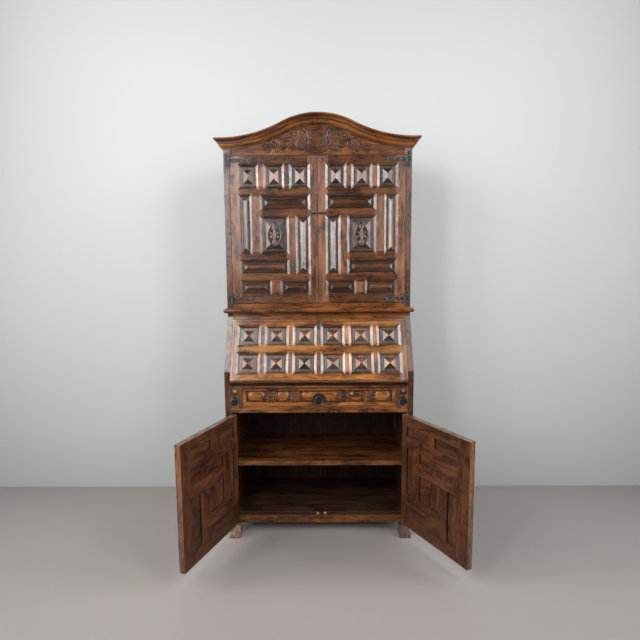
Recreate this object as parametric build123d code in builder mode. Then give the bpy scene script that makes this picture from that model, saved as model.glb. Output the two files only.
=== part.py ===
from build123d import *
from math import atan2, cos, degrees, hypot, sin
import os

os.makedirs("parts", exist_ok=True)

# A two-part secretary: a cupboard base with a drawer, two lopers and a slanted writing
# flap, and a two-door bookcase under an arched cornice.
# X runs across, the front looks along -Y, Z is up. Lengths are in mm.
# The case is drawn with its front face on y = 0, and is centred when it is written out.

# carcase
case_width = 900
side_thickness = 27
base_depth = 410
back_thickness = 8
back_board_count = 6
back_board_gap = 0.6
joint_gap = 0.2
foot_height = 54
foot_width = 44
foot_flare = 9
foot_toe = 20
foot_depth = 60
foot_lip = 8
bottom_rail_height = 38
bottom_rail_thickness = 18
bottom_board_thickness = 20
cupboard_setback = 31
shelf_thickness = 22
shelf_top = 372
shelf_setback = 1

# drawer level
drawer_rail_thickness = 20
drawer_sill_thickness = 12
loper_opening_height = 101
partition_thickness = 14
writing_board_thickness = 22
drawer_front_thickness = 20
drawer_side_thickness = 12
drawer_bottom_thickness = 6
drawer_bottom_lift = 4
drawer_box_height = 70
drawer_back_gap = 42
drawer_gap = 1.5
loper_width = 41
loper_side_gap = 1
loper_back_gap = 42
loper_flap_gap = 0.6

# writing flap, leaning back over the desk
upper_setback = 117
slope_rise = 257
slope_foot_rise = 56
flap_thickness = 24
header_width = 19
flap_hinge_offset = 3
flap_end_gap = 1.5
flap_side_gap = 2
flap_bullnose = 11
header_gap = 2.5
header_thickness = 20
ledge_gap = 15
ledge_thickness = 22
ledge_nose = 28
ledge_overhang = 15
ledge_round = 10

# bookcase
upper_bottom_thickness = 23
upper_top_thickness = 22
upper_shelf_thickness = 18
upper_shelf_count = 2
upper_door_height = 702
upper_door_thickness = 24
door_gap = 3
door_side_gap = 2
door_meeting_gap = 1
pediment_gap = 2
pediment_thickness = 22
frieze_height = 76
arch_rise = 110
arch_overhang = 7
crest_radius = 375
cornice_height = 47
cornice_projection = 38

# pigeonholes at the back of the desk
pigeonhole_depth = 177
pigeonhole_board = 10
pigeonhole_columns = 6
pigeonhole_row_height = 155

# lower doors, which stand open
lower_door_height = 542
lower_door_lift = 28
lower_door_thickness = 27
left_open_angle = 111
right_open_angle = 120

# panelled frames
splay_width = 13
splay_depth = 9
tongue = 7
tongue_gap = 1
panel_depth = 11
panel_slab = 7
panel_back_gap = 8
panel_back_recess = 1
field_margin = 12
field_rise = 9
ridge_width = 1.5

# upper door lattice
upper_stile = 48
upper_rail = 48
lattice_bar = 47
square_bar = 49
square_height = 95
tall_width = 40
slot_height = 55
inner_tall_width = 47.5
centre_bar = 56.5
tall_bar = 64
long_slot_height = 53
small_slot_height = 51
small_slot_width = 133
small_slot_bar = 66
upper_bottom_rail = 50.5

# lower door lattice
lower_hinge_stile = 36
lower_meeting_stile = 64
lower_rail = 46
lower_bar = 45
lower_rail_bar = 56
lower_top_slot = 48
lower_slot = 50
lower_tall_width = 42
lower_inner_tall_width = 56
lower_bottom_rail = 58
lower_bottom_slot = 49

# flap lattice
flap_columns = 6
flap_rows = 2
flap_stile = 35
flap_bar = 44.4
flap_bottom_rail = 49
flap_top_rail = 38
flap_row_bar = 50
flap_field_margin = 18

# rosette on the centre panel of each upper door
rosette_width = 60
rosette_height = 112
rosette_rise = 3

# drawer and loper fronts
drawer_border = 14
drawer_top_border = 9
drawer_front_splay = 4
drawer_recess_depth = 9
drawer_field_margin = 4
drawer_field_rise = 7
loper_border = 5
loper_recess_depth = 7

# iron hinges
knuckle_radius = 5
pin_radius = 2.2
pin_clearance = 0.05
hinge_standoff = 0.3
knuckle_length = 14
strap_height = 17.4
strap_length = 112
strap_thickness = 3
strap_tip = 26
knuckle_gap = 0.3
leaf_length = 80
leaf_width = 17
leaf_point = 14
pin_head_radius = 4.2
flap_knuckle_radius = 3.5
flap_pin_radius = 1.5
flap_knuckle_length = 16
flap_leaf_depth = 25
flap_leaf_thickness = 2
flap_hinge_spread = 320
flap_hinge_pocket = 0.6

# ring pulls
ring_wire = 2.4
eye_radius = 5.5
eye_bore = 3.1
eye_thickness = 5
eye_offset = 7
plate_thickness = 2
drawer_plate_radius = 29
drawer_ring_radius = 20.5
small_plate_radius = 11
small_ring_radius = 18.6
drawer_eye_height = 46
loper_eye_height = 50
door_pull_inset = 31
door_pull_height = 290

# bolt across the meeting stiles, catches and key plates
bolt_radius = 2.2
bolt_clearance = 0.06
bolt_length = 42
bolt_standoff = 4.5
bolt_start = 2.5
bolt_drop = 269
staple_radius = 4.4
staple_length = 5
keeper_length = 24
keeper_start = 4
bolt_plate_height = 12
bolt_plate_thickness = 1.4
knob_radius = 2.6
knob_length = 8
ball_radius = 4
ball_proud = 3
left_ball_x = -10
right_ball_x = 26
ball_plate = 14
key_plate_width = 22
key_plate_height = 54
key_plate_thickness = 1.5
keyhole_radius = 2.6
keyhole_slot = 9
door_key_plate_radius = 6
door_key_plate_x = 30
door_key_plate_drop = 338

# heights and places that follow from the sizes above
half_width = case_width / 2
inner_x = half_width - side_thickness
back_y = base_depth - back_thickness
case_bottom = foot_height
board_bottom = case_bottom + bottom_rail_height
lower_door_bottom = case_bottom + lower_door_lift
lower_door_top = lower_door_bottom + lower_door_height
drawer_rail_bottom = lower_door_top + door_gap
loper_floor = drawer_rail_bottom + drawer_rail_thickness
drawer_floor = loper_floor + drawer_sill_thickness
drawer_ceiling = loper_floor + loper_opening_height
writing_level = drawer_ceiling + writing_board_thickness
slope_foot = writing_level + slope_foot_rise
slope_top = slope_foot + slope_rise
ledge_bottom = slope_top + ledge_gap
ledge_top = ledge_bottom + ledge_thickness
upper_door_bottom = ledge_top + upper_bottom_thickness + door_gap
upper_door_top = upper_door_bottom + upper_door_height
pediment_bottom = upper_door_top + pediment_gap
cornice_top = pediment_bottom + frieze_height
slope_angle = atan2(upper_setback, slope_rise)
partition_outer = inner_x - loper_width - 2 * loper_side_gap
partition_x = partition_outer - partition_thickness
drawer_width = 2 * (partition_x - drawer_gap)
drawer_box_depth = back_y - drawer_front_thickness - drawer_back_gap
loper_length = back_y - loper_back_gap
slope_start = slope_foot_rise * cos(slope_angle) + flap_hinge_offset * sin(slope_angle)
flap_length = slope_start + hypot(upper_setback, slope_rise) - header_width - header_gap
arch_half_span = half_width + arch_overhang
arch_angle = 2 * atan2(arch_rise, arch_half_span)
foot_arc_radius = arch_half_span / sin(arch_angle) - crest_radius
door_width = inner_x - door_side_gap - door_meeting_gap
door_hinge_x = inner_x - door_side_gap / 2
hinge_drop = knuckle_radius + hinge_standoff
splay_angle = degrees(atan2(splay_width, splay_depth))

up_slope = Vector(0, sin(slope_angle), cos(slope_angle))
out_of_slope = Vector(0, -cos(slope_angle), sin(slope_angle))
flap_axis = Vector(0, -flap_hinge_offset, writing_level)

pieces = []


def keep(piece, name):
    piece.part.label = name
    pieces.append(piece.part)
    return piece.part


def middle(span):
    return (span[0] + span[1]) / 2


def length(span):
    return span[1] - span[0]


def mirrored(span):
    return (-span[1], -span[0])


def add_box(x_span, y_span, z_span, mode=Mode.ADD):
    with BuildSketch(Plane.XY.offset(z_span[0])) as outline:
        with Locations((middle(x_span), middle(y_span))):
            Rectangle(length(x_span), length(y_span))
    extrude(outline.sketch, amount=length(z_span), mode=mode)


def board(name, x_span, y_span, z_span):
    with BuildPart() as piece:
        add_box(x_span, y_span, z_span)
    return keep(piece, name)


def boards(name, spans):
    with BuildPart() as piece:
        for x_span, y_span, z_span in spans:
            add_box(x_span, y_span, z_span)
    return keep(piece, name)


# ---- base carcase ----
def base_side(name, outer_x):
    with BuildPart() as side:
        with BuildSketch(Plane.YZ.offset(outer_x)):
            with BuildLine():
                Polyline(
                    (0, case_bottom),
                    (0, slope_foot),
                    (upper_setback, slope_top),
                    (upper_setback, ledge_bottom),
                    (base_depth, ledge_bottom),
                    (base_depth, case_bottom),
                    close=True,
                )
            make_face()
        extrude(amount=side_thickness)
    return keep(side, name)


base_side("base_left_side", -half_width)
base_side("base_right_side", inner_x)

between = (-inner_x, inner_x)
board("bottom_rail", between, (cupboard_setback, cupboard_setback + bottom_rail_thickness),
      (case_bottom, board_bottom))
board("bottom_board", between, (cupboard_setback, back_y),
      (board_bottom, board_bottom + bottom_board_thickness))
board("lower_shelf", between, (cupboard_setback + shelf_setback, back_y),
      (shelf_top - shelf_thickness, shelf_top))
board("drawer_rail", between, (0, back_y), (drawer_rail_bottom, loper_floor))

board("drawer_sill", (-partition_x, partition_x), (0, back_y), (loper_floor, drawer_floor))
partition_span = (partition_x, partition_outer)
boards("loper_partitions", [
    (mirrored(partition_span), (0, back_y), (loper_floor, drawer_ceiling)),
    (partition_span, (0, back_y), (loper_floor, drawer_ceiling)),
])

# the writing board has a pocket for each flap hinge in its front edge
flap_hinge_length = 3 * flap_knuckle_length + 2 * knuckle_gap
with BuildPart() as writing_board:
    add_box(between, (0, back_y), (drawer_ceiling, writing_level))
    for hinge_x in (-flap_hinge_spread, flap_hinge_spread):
        hinge_span = (hinge_x - flap_hinge_length / 2 - flap_hinge_pocket,
                      hinge_x + flap_hinge_length / 2 + flap_hinge_pocket)
        with BuildSketch(Plane.YZ.offset(hinge_span[0])):
            with Locations((flap_axis.Y, flap_axis.Z)):
                Circle(flap_knuckle_radius + flap_hinge_pocket)
        extrude(amount=length(hinge_span), mode=Mode.SUBTRACT)
        add_box(hinge_span, (0, flap_leaf_depth),
                (writing_level - flap_leaf_thickness, writing_level), mode=Mode.SUBTRACT)
keep(writing_board, "writing_board")

# the header rail closes the slope above the flap
header_start = flap_length + header_gap - slope_start
header_foot = (header_start * sin(slope_angle), slope_foot + header_start * cos(slope_angle))
with BuildPart() as header:
    with BuildSketch(Plane.YZ.offset(-inner_x)):
        with BuildLine():
            Polyline(
                header_foot,
                (upper_setback, slope_top),
                (upper_setback, ledge_bottom),
                (upper_setback + header_thickness, ledge_bottom),
                (header_foot[0] + header_thickness * cos(slope_angle),
                 header_foot[1] - header_thickness * sin(slope_angle)),
                close=True,
            )
        make_face()
    extrude(amount=2 * inner_x)
keep(header, "desk_header_rail")

with BuildPart() as ledge:
    ledge_x = half_width + ledge_overhang
    add_box((-ledge_x, ledge_x), (upper_setback - ledge_nose, base_depth),
            (ledge_bottom, ledge_top))
    nose_edges = (ledge.edges().filter_by(Axis.Z, reverse=True)
                  .filter_by(lambda edge: edge.center().Y < base_depth - 1))
    fillet(nose_edges, radius=ledge_round)
keep(ledge, "ledge_board")

# boards of the base's back and the bookcase's back
back_pitch = 2 * inner_x / back_board_count
back_spans = []
for number in range(back_board_count):
    left = -inner_x + number * back_pitch
    board_span = (left, left + back_pitch - back_board_gap)
    back_spans.append((board_span, (back_y, base_depth), (case_bottom, ledge_bottom)))
    back_spans.append((board_span, (back_y, base_depth), (ledge_top, cornice_top)))
boards("back_boards", back_spans)

# pigeonholes
rack_front = back_y - pigeonhole_depth
rack_shelf_z = writing_level + pigeonhole_row_height
rack_spans = [(between, (rack_front, back_y), (rack_shelf_z, rack_shelf_z + pigeonhole_board))]
for number in range(1, pigeonhole_columns):
    middle_x = -inner_x + number * 2 * inner_x / pigeonhole_columns
    upright = (middle_x - pigeonhole_board / 2, middle_x + pigeonhole_board / 2)
    rack_spans.append((upright, (rack_front, back_y),
                       (writing_level, rack_shelf_z - joint_gap)))
    rack_spans.append((upright, (rack_front, back_y),
                       (rack_shelf_z + pigeonhole_board + joint_gap, ledge_bottom)))
boards("pigeonhole_rack", rack_spans)


# feet flare forward and outward to a lip at the floor
def add_foot(inner_side, front, side):
    toe = foot_toe if front < base_depth / 2 else 0
    outer = inner_side + side * foot_width
    x_top = sorted((inner_side, outer))
    x_toe = sorted((inner_side, outer + side * foot_flare))
    y_top = (front, front + foot_depth)
    y_toe = (front - toe, front + foot_depth)
    for low, high, x_low, y_low, x_high, y_high in (
        (0, foot_lip, x_toe, y_toe, x_toe, y_toe),
        (foot_lip, foot_height, x_toe, y_toe, x_top, y_top),
    ):
        with BuildSketch(Plane.XY.offset(low)) as lower:
            with Locations((middle(x_low), middle(y_low))):
                Rectangle(length(x_low), length(y_low))
        with BuildSketch(Plane.XY.offset(high)) as upper:
            with Locations((middle(x_high), middle(y_high))):
                Rectangle(length(x_high), length(y_high))
        loft([lower.sketch, upper.sketch])


foot_inner = half_width - side_thickness - door_side_gap - foot_width + 14
with BuildPart() as feet:
    for side in (-1, 1):
        for front in (0, base_depth - foot_depth):
            add_foot(side * foot_inner, front, side)
keep(feet, "feet")

# ---- bookcase carcase ----
upper_depth = (upper_setback, base_depth)
board("upper_left_side", (-half_width, -inner_x), upper_depth, (ledge_top, cornice_top))
board("upper_right_side", (inner_x, half_width), upper_depth, (ledge_top, cornice_top))
board("upper_bottom_board", between, (upper_setback, back_y),
      (ledge_top, ledge_top + upper_bottom_thickness))
board("upper_top_board", between, (upper_setback + pediment_thickness, back_y),
      (cornice_top - upper_top_thickness, cornice_top))

shelf_front = upper_setback + upper_door_thickness + door_gap
shelf_room = cornice_top - upper_top_thickness - ledge_top - upper_bottom_thickness
shelf_spans = []
for number in range(1, upper_shelf_count + 1):
    shelf_z = ledge_top + upper_bottom_thickness + number * shelf_room / (upper_shelf_count + 1)
    shelf_spans.append((between, (shelf_front, back_y),
                        (shelf_z - upper_shelf_thickness, shelf_z)))
boards("upper_shelves", shelf_spans)

# the pediment board carries the carving and follows the arch
upper_front = Plane.XZ.offset(-upper_setback)
with BuildPart() as pediment:
    with BuildSketch(upper_front):
        with BuildLine():
            left_arc = JernArc((-arch_half_span, cornice_top), (1, 0), foot_arc_radius,
                               degrees(arch_angle))
            crest = JernArc(left_arc @ 1, left_arc % 1, crest_radius, -2 * degrees(arch_angle))
            right_arc = JernArc(crest @ 1, crest % 1, foot_arc_radius, degrees(arch_angle))
            Polyline(right_arc @ 1, (arch_half_span, pediment_bottom),
                     (-arch_half_span, pediment_bottom), (-arch_half_span, cornice_top))
        make_face()
        with Locations((0, pediment_bottom)):
            Rectangle(2 * inner_x, 2 * (arch_rise + frieze_height) + 2, mode=Mode.INTERSECT)
    extrude(amount=-pediment_thickness)
keep(pediment, "pediment_board")


def cornice_section(plane):
    """Moulding outline: nosing, cove, ovolo and fillet, with its back on the case."""
    out = cornice_projection
    drop = cornice_height
    with BuildSketch(plane) as section:
        with BuildLine():
            top = Line((0, 0), (0.9 * out, 0))
            nose = ThreePointArc(top @ 1, (out, -0.1 * drop), (0.9 * out, -0.2 * drop))
            cove = ThreePointArc(nose @ 1, (0.66 * out, -0.28 * drop), (0.53 * out, -0.5 * drop))
            step = Line(cove @ 1, (0.45 * out, -0.52 * drop))
            ovolo = ThreePointArc(step @ 1, (0.37 * out, -0.76 * drop),
                                  (0.13 * out, -0.88 * drop))
            Polyline(ovolo @ 1, (0.13 * out, -drop), (0, -drop), (0, 0))
        make_face()
    return section.sketch


cornice_reach = half_width + cornice_projection
with BuildPart() as cornice_front:
    with BuildLine(upper_front) as arch_path:
        left_flat = Line((-cornice_reach, cornice_top), (-arch_half_span, cornice_top))
        left_arc = JernArc(left_flat @ 1, left_flat % 1, foot_arc_radius, degrees(arch_angle))
        crest = JernArc(left_arc @ 1, left_arc % 1, crest_radius, -2 * degrees(arch_angle))
        right_arc = JernArc(crest @ 1, crest % 1, foot_arc_radius, degrees(arch_angle))
        Line(right_arc @ 1, (cornice_reach, cornice_top))
    start_plane = Plane(origin=(-cornice_reach, upper_setback, cornice_top),
                        x_dir=(0, -1, 0), z_dir=(-1, 0, 0))
    sweep(cornice_section(start_plane), path=arch_path.wires()[0])
    for side in (-1, 1):
        split(bisect_by=Plane(origin=(side * half_width, upper_setback, 0), z_dir=(side, 1, 0)),
              keep=Keep.BOTTOM)
keep(cornice_front, "cornice_front")

with BuildPart() as returns:
    return_plane = Plane(origin=(half_width, base_depth, cornice_top),
                         x_dir=(1, 0, 0), z_dir=(0, -1, 0))
    extrude(cornice_section(return_plane), amount=base_depth - upper_setback + cornice_projection)
    split(bisect_by=Plane(origin=(half_width, upper_setback, 0), z_dir=(1, 1, 0)),
          keep=Keep.TOP)
    mirror(about=Plane.YZ)
keep(returns, "cornice_returns")


# ---- panelled frames ----
def add_openings(plane, openings, grow, depth, taper=0):
    with BuildSketch(plane) as outline:
        for x_span, z_span in openings:
            with Locations((middle(x_span), middle(z_span))):
                Rectangle(length(x_span) + 2 * grow, length(z_span) + 2 * grow)
    extrude(outline.sketch, amount=-depth, taper=taper, mode=Mode.SUBTRACT)


def add_frame(front, x_span, z_span, openings, thickness):
    """Board with splayed openings, grooved inside for the panels."""
    with BuildSketch(front) as outline:
        with Locations((middle(x_span), middle(z_span))):
            Rectangle(length(x_span), length(z_span))
    extrude(outline.sketch, amount=-thickness)
    add_openings(front, openings, splay_width, splay_depth, splay_angle)
    add_openings(front, openings, 0, thickness)
    add_openings(front.offset(-panel_depth), openings, tongue + tongue_gap, panel_slab)


def add_raised_panels(front, openings, thickness, margin, gap_side=0):
    """Tongued slabs with a hipped field in front and a flush block behind."""
    for x_span, z_span in openings:
        width, height = length(x_span), length(z_span)
        centre = (middle(x_span), middle(z_span))
        with BuildSketch(front.offset(-panel_depth)) as slab:
            with Locations(centre):
                Rectangle(width + 2 * tongue, height + 2 * tongue)
        extrude(slab.sketch, amount=-panel_slab)
        with BuildSketch(front.offset(-panel_depth - panel_slab)) as block:
            with Locations((centre[0] - gap_side * panel_back_gap / 2, centre[1])):
                Rectangle(width - panel_back_gap, height - 1)
        extrude(block.sketch, amount=-(thickness - panel_depth - panel_slab - panel_back_recess))
        inset = min(margin, 0.22 * min(width, height))
        base = (width - 2 * inset, height - 2 * inset)
        lean = degrees(atan2((min(base) - ridge_width) / 2, field_rise))
        with BuildSketch(front.offset(-panel_depth)) as field:
            with Locations(centre):
                Rectangle(*base)
        extrude(field.sketch, amount=field_rise, taper=lean)


def add_rosette(front, opening):
    """Oval carved block standing on the field of a centre panel."""
    width = min(rosette_width, 0.6 * length(opening[0]))
    height = min(rosette_height, 0.75 * length(opening[1]))
    with BuildSketch(front.offset(-panel_depth)) as outline:
        with Locations((middle(opening[0]), middle(opening[1]))):
            Ellipse(width / 2, height / 2)
    extrude(outline.sketch, amount=field_rise + rosette_rise)


def upper_lattice(hinge_x, side):
    """Openings of an upper door, from its hinge edge towards the meeting edge."""
    low, high = upper_door_bottom, upper_door_top
    inner = door_width - upper_stile
    square = (door_width - 2 * upper_stile - 2 * square_bar) / 3
    squares = (high - upper_rail - square_height, high - upper_rail)
    slot_top = squares[0] - lattice_bar
    slot = (slot_top - slot_height, slot_top)
    centre_top = slot[0] - lattice_bar
    small = (low + upper_bottom_rail, low + upper_bottom_rail + small_slot_height)
    long_low = small[1] + lattice_bar
    long_slot = (long_low, long_low + long_slot_height)
    centre_low = long_slot[1] + lattice_bar
    tall_end = upper_stile + tall_width
    centre_start = tall_end + tall_bar
    inner_start = inner - inner_tall_width
    centre_end = inner_start - centre_bar
    cells = [
        ((upper_stile, upper_stile + square), squares),
        ((upper_stile + square + square_bar, upper_stile + 2 * square + square_bar), squares),
        ((inner - square, inner), squares),
        ((upper_stile, tall_end), (centre_low, slot_top)),
        ((centre_start, inner), slot),
        ((centre_start, centre_end), (centre_low, centre_top)),
        ((inner_start, inner), (long_low, centre_top)),
        ((upper_stile, centre_end), long_slot),
        ((upper_stile, upper_stile + small_slot_width), small),
        ((upper_stile + small_slot_width + small_slot_bar, inner), small),
    ]
    return [(tuple(sorted((hinge_x - side * a, hinge_x - side * b))), rows)
            for (a, b), rows in cells]


def lower_lattice(hinge_x, side):
    """Openings of a lower door, from its hinge edge towards the meeting edge."""
    low, high = lower_door_bottom, lower_door_top
    inner = door_width - lower_meeting_stile
    top_row = (high - lower_rail - lower_top_slot, high - lower_rail)
    slot_top = top_row[0] - lower_rail_bar
    slot = (slot_top - lower_slot, slot_top)
    centre_top = slot[0] - lower_rail_bar
    bottom_row = (low + lower_bottom_rail, low + lower_bottom_rail + lower_bottom_slot)
    centre_low = bottom_row[1] + lower_rail_bar
    tall_end = lower_hinge_stile + lower_tall_width
    centre_start = tall_end + lower_bar
    inner_start = inner - lower_inner_tall_width
    centre_end = inner_start - lower_bar
    top_middle = (lower_hinge_stile + inner) / 2
    cells = [
        ((lower_hinge_stile, top_middle - lower_bar / 2), top_row),
        ((top_middle + lower_bar / 2, inner), top_row),
        ((lower_hinge_stile, tall_end), (centre_low, slot_top)),
        ((centre_start, inner), slot),
        ((centre_start, centre_end), (centre_low, centre_top)),
        ((inner_start, inner), (bottom_row[0], centre_top)),
        ((lower_hinge_stile, centre_end), bottom_row),
    ]
    return [(tuple(sorted((hinge_x - side * a, hinge_x - side * b))), rows)
            for (a, b), rows in cells]


# ---- iron hinges with a knuckle standing in front of the wood ----
def add_knuckle(x, y, z_span):
    with BuildSketch(Plane.XY.offset(z_span[0])) as outline:
        with Locations((x, y)):
            Circle(knuckle_radius)
    extrude(outline.sketch, amount=length(z_span))


def bore_knuckles(x, y, z_span):
    with BuildSketch(Plane.XY.offset(z_span[0])) as outline:
        with Locations((x, y)):
            Circle(pin_radius + pin_clearance)
    extrude(outline.sketch, amount=length(z_span), mode=Mode.SUBTRACT)


def add_post_leaf(x, face_y, z, side):
    """Leaf on the post: a pointed plate with two knuckles, one each side of the strap."""
    near = x + side * (knuckle_radius + 0.6)
    far = near + side * leaf_width
    shoulder = leaf_length / 2 - leaf_point
    with BuildSketch(Plane.XZ.offset(-face_y)) as outline:
        with BuildLine():
            Polyline(
                (near, z - shoulder),
                (near, z + shoulder),
                (middle((near, far)), z + leaf_length / 2),
                (far, z + shoulder),
                (far, z - shoulder),
                (middle((near, far)), z - leaf_length / 2),
                close=True,
            )
        make_face()
    extrude(outline.sketch, amount=strap_thickness)
    for low in (z + strap_height / 2 + knuckle_gap,
                z - strap_height / 2 - knuckle_gap - knuckle_length):
        lug = (low, low + knuckle_length)
        add_box(tuple(sorted((x, near))), (face_y - strap_thickness, face_y), lug)
        add_knuckle(x, face_y - hinge_drop, lug)
        bore_knuckles(x, face_y - hinge_drop, lug)


def add_strap(x, face_y, z, side):
    """Strap on the door: one knuckle and a plate that ends in a drawn-out tip."""
    half = strap_height / 2
    neck = x - side * (strap_length - strap_tip)
    with BuildSketch(Plane.XZ.offset(-face_y)) as outline:
        with BuildLine():
            Polyline(
                (x, z - half),
                (neck, z - 0.7 * half),
                (neck - side * 0.3 * strap_tip, z - 1.1 * half),
                (x - side * strap_length, z),
                (neck - side * 0.3 * strap_tip, z + 1.1 * half),
                (neck, z + 0.7 * half),
                (x, z + half),
                close=True,
            )
        make_face()
    extrude(outline.sketch, amount=strap_thickness)
    knuckle = (z - half, z + half)
    add_knuckle(x, face_y - hinge_drop, knuckle)
    bore_knuckles(x, face_y - hinge_drop, knuckle)


def add_pin(x, face_y, z):
    reach = strap_height / 2 + knuckle_gap + knuckle_length
    with BuildSketch(Plane.XY.offset(z - reach - knuckle_gap)) as outline:
        with Locations((x, face_y - hinge_drop)):
            Circle(pin_radius)
    extrude(outline.sketch, amount=2 * (reach + knuckle_gap))
    for end in (-1, 1):
        head_z = z + end * (reach + knuckle_gap + 0.8 * pin_head_radius)
        with Locations((x, face_y - hinge_drop, head_z)):
            Sphere(pin_head_radius)


upper_hinges = (upper_door_bottom + upper_bottom_rail / 2 - 6, upper_door_top - upper_rail / 2 + 4)
lower_hinges = (lower_door_bottom + lower_bottom_rail / 2, lower_door_top - lower_rail / 2)
hinge_rows = [(upper_setback, z) for z in upper_hinges] + [(0, z) for z in lower_hinges]

with BuildPart() as post_leaves:
    for face_y, z in hinge_rows:
        for side in (-1, 1):
            add_post_leaf(side * door_hinge_x, face_y, z, side)
keep(post_leaves, "post_hinge_leaves")

# flap hinges: board leaf, flap leaf and pin along X
with BuildPart() as flap_board_leaves:
    for hinge_x in (-flap_hinge_spread, flap_hinge_spread):
        start = hinge_x - flap_hinge_length / 2
        add_box((start, start + flap_hinge_length), (0, flap_leaf_depth - 1),
                (writing_level - flap_leaf_thickness, writing_level))
        add_box((start, start + flap_hinge_length), (flap_axis.Y, 1),
                (writing_level - flap_leaf_thickness, writing_level))
        for low in (start, start + 2 * (flap_knuckle_length + knuckle_gap)):
            with BuildSketch(Plane.YZ.offset(low)):
                with Locations((flap_axis.Y, flap_axis.Z)):
                    Circle(flap_knuckle_radius)
            extrude(amount=flap_knuckle_length)
        clear_start = start + flap_knuckle_length
        with BuildSketch(Plane.YZ.offset(clear_start)):
            with Locations((flap_axis.Y, flap_axis.Z)):
                Circle(flap_knuckle_radius + knuckle_gap)
        extrude(amount=flap_knuckle_length + 2 * knuckle_gap, mode=Mode.SUBTRACT)
        with BuildSketch(Plane.YZ.offset(start)):
            with Locations((flap_axis.Y, flap_axis.Z)):
                Circle(flap_pin_radius + pin_clearance)
        extrude(amount=flap_hinge_length, mode=Mode.SUBTRACT)
keep(flap_board_leaves, "flap_hinge_board_leaves")

with BuildPart() as pins:
    for face_y, z in hinge_rows:
        for side in (-1, 1):
            add_pin(side * door_hinge_x, face_y, z)
    for hinge_x in (-flap_hinge_spread, flap_hinge_spread):
        with BuildSketch(Plane.YZ.offset(hinge_x - flap_hinge_length / 2)):
            with Locations((flap_axis.Y, flap_axis.Z)):
                Circle(flap_pin_radius)
        extrude(amount=flap_hinge_length)
keep(pins, "hinge_pins")

# brass ball catches let into the front edge of the bottom board
with BuildPart() as catches:
    catch_z = board_bottom + bottom_board_thickness / 2
    for catch_x in (left_ball_x, right_ball_x):
        add_box((catch_x - ball_plate / 2, catch_x + ball_plate / 2),
                (cupboard_setback - 1, cupboard_setback), (catch_z - 7, catch_z + 7))
        with Locations((catch_x, cupboard_setback - ball_proud + ball_radius, catch_z)):
            Sphere(ball_radius)
        add_box((catch_x - ball_plate / 2, catch_x + ball_plate / 2),
                (cupboard_setback, cupboard_setback + 2 * ball_radius),
                (catch_z - 7, catch_z + 7), mode=Mode.SUBTRACT)
keep(catches, "ball_catches")


# ---- ring pulls ----
def pull_plate(x, face_y, z, radius, plate_drop=0):
    """Round back plate with a bored eye; x, z is the eye."""
    axis_y = face_y - eye_offset
    with BuildPart() as plate:
        with BuildSketch(Plane.XZ.offset(-face_y)):
            with Locations((x, z - plate_drop)):
                Circle(radius)
        extrude(amount=plate_thickness)
        add_box((x - eye_thickness / 2, x + eye_thickness / 2),
                (axis_y, face_y - plate_thickness / 2), (z - 3, z + 3))
        with BuildSketch(Plane.YZ.offset(x - eye_thickness / 2)):
            with Locations((axis_y, z)):
                Circle(eye_radius - 0.6)
        extrude(amount=eye_thickness)
        with BuildSketch(Plane.YZ.offset(x - eye_thickness / 2)):
            with Locations((axis_y, z)):
                Circle(eye_bore)
        extrude(amount=eye_thickness, mode=Mode.SUBTRACT)
    return plate


def pull_ring(x, face_y, z, radius):
    with BuildPart() as ring:
        with Locations(Location((x, face_y - eye_offset, z - radius), (90, 0, 0))):
            Torus(radius, ring_wire)
    return ring


# ---- drawer ----
drawer_span = (-drawer_width / 2, drawer_width / 2)
# the drawer, pulled out, passes under the open flap and its key plate
drawer_z = (drawer_floor + drawer_gap,
            writing_level - flap_thickness - key_plate_thickness - loper_flap_gap)
front_plane = Plane.XZ
recess = [((drawer_span[0] + drawer_border, drawer_span[1] - drawer_border),
           (drawer_z[0] + drawer_border, drawer_z[1] - drawer_top_border))]


def add_recessed_field(plane, openings, splay, depth, margin, rise):
    """Sink the openings into the front and raise a hipped field inside each."""
    lean_in = degrees(atan2(splay, depth))
    with BuildSketch(plane) as outline:
        for x_span, z_span in openings:
            with Locations((middle(x_span), middle(z_span))):
                Rectangle(length(x_span), length(z_span))
    extrude(outline.sketch, amount=-depth, taper=lean_in, mode=Mode.SUBTRACT)
    for x_span, z_span in openings:
        base = (length(x_span) - 2 * (splay + margin), length(z_span) - 2 * (splay + margin))
        lean = degrees(atan2((min(base) - ridge_width) / 2, rise))
        with BuildSketch(plane.offset(-depth)) as outline:
            with Locations((middle(x_span), middle(z_span))):
                Rectangle(*base)
        extrude(outline.sketch, amount=rise, taper=lean)


with BuildPart() as drawer_front:
    add_box(drawer_span, (0, drawer_front_thickness), drawer_z)
    add_recessed_field(front_plane, recess, drawer_front_splay, drawer_recess_depth,
                       drawer_field_margin, drawer_field_rise)
keep(drawer_front, "drawer_front")

box_back = drawer_front_thickness + drawer_box_depth
box_low = drawer_z[0] + 1
box_high = box_low + drawer_box_height
box_x = drawer_width / 2 - 2
side_span = (box_x - drawer_side_thickness, box_x)
box_inside = (-side_span[0] + joint_gap, side_span[0] - joint_gap)
box_end = box_back - drawer_side_thickness
boards("drawer_box", [
    (mirrored(side_span), (drawer_front_thickness, box_back), (box_low, box_high)),
    (side_span, (drawer_front_thickness, box_back), (box_low, box_high)),
    (box_inside, (box_end, box_back), (box_low, box_high)),
    (box_inside, (drawer_front_thickness + joint_gap, box_end - joint_gap),
     (box_low + drawer_bottom_lift, box_low + drawer_bottom_lift + drawer_bottom_thickness)),
])

drawer_eye_z = drawer_z[0] + drawer_eye_height
keep(pull_plate(0, 0, drawer_eye_z, drawer_plate_radius, plate_drop=12), "drawer_pull_plate")
keep(pull_ring(0, 0, drawer_eye_z, drawer_ring_radius), "drawer_ring")

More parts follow.
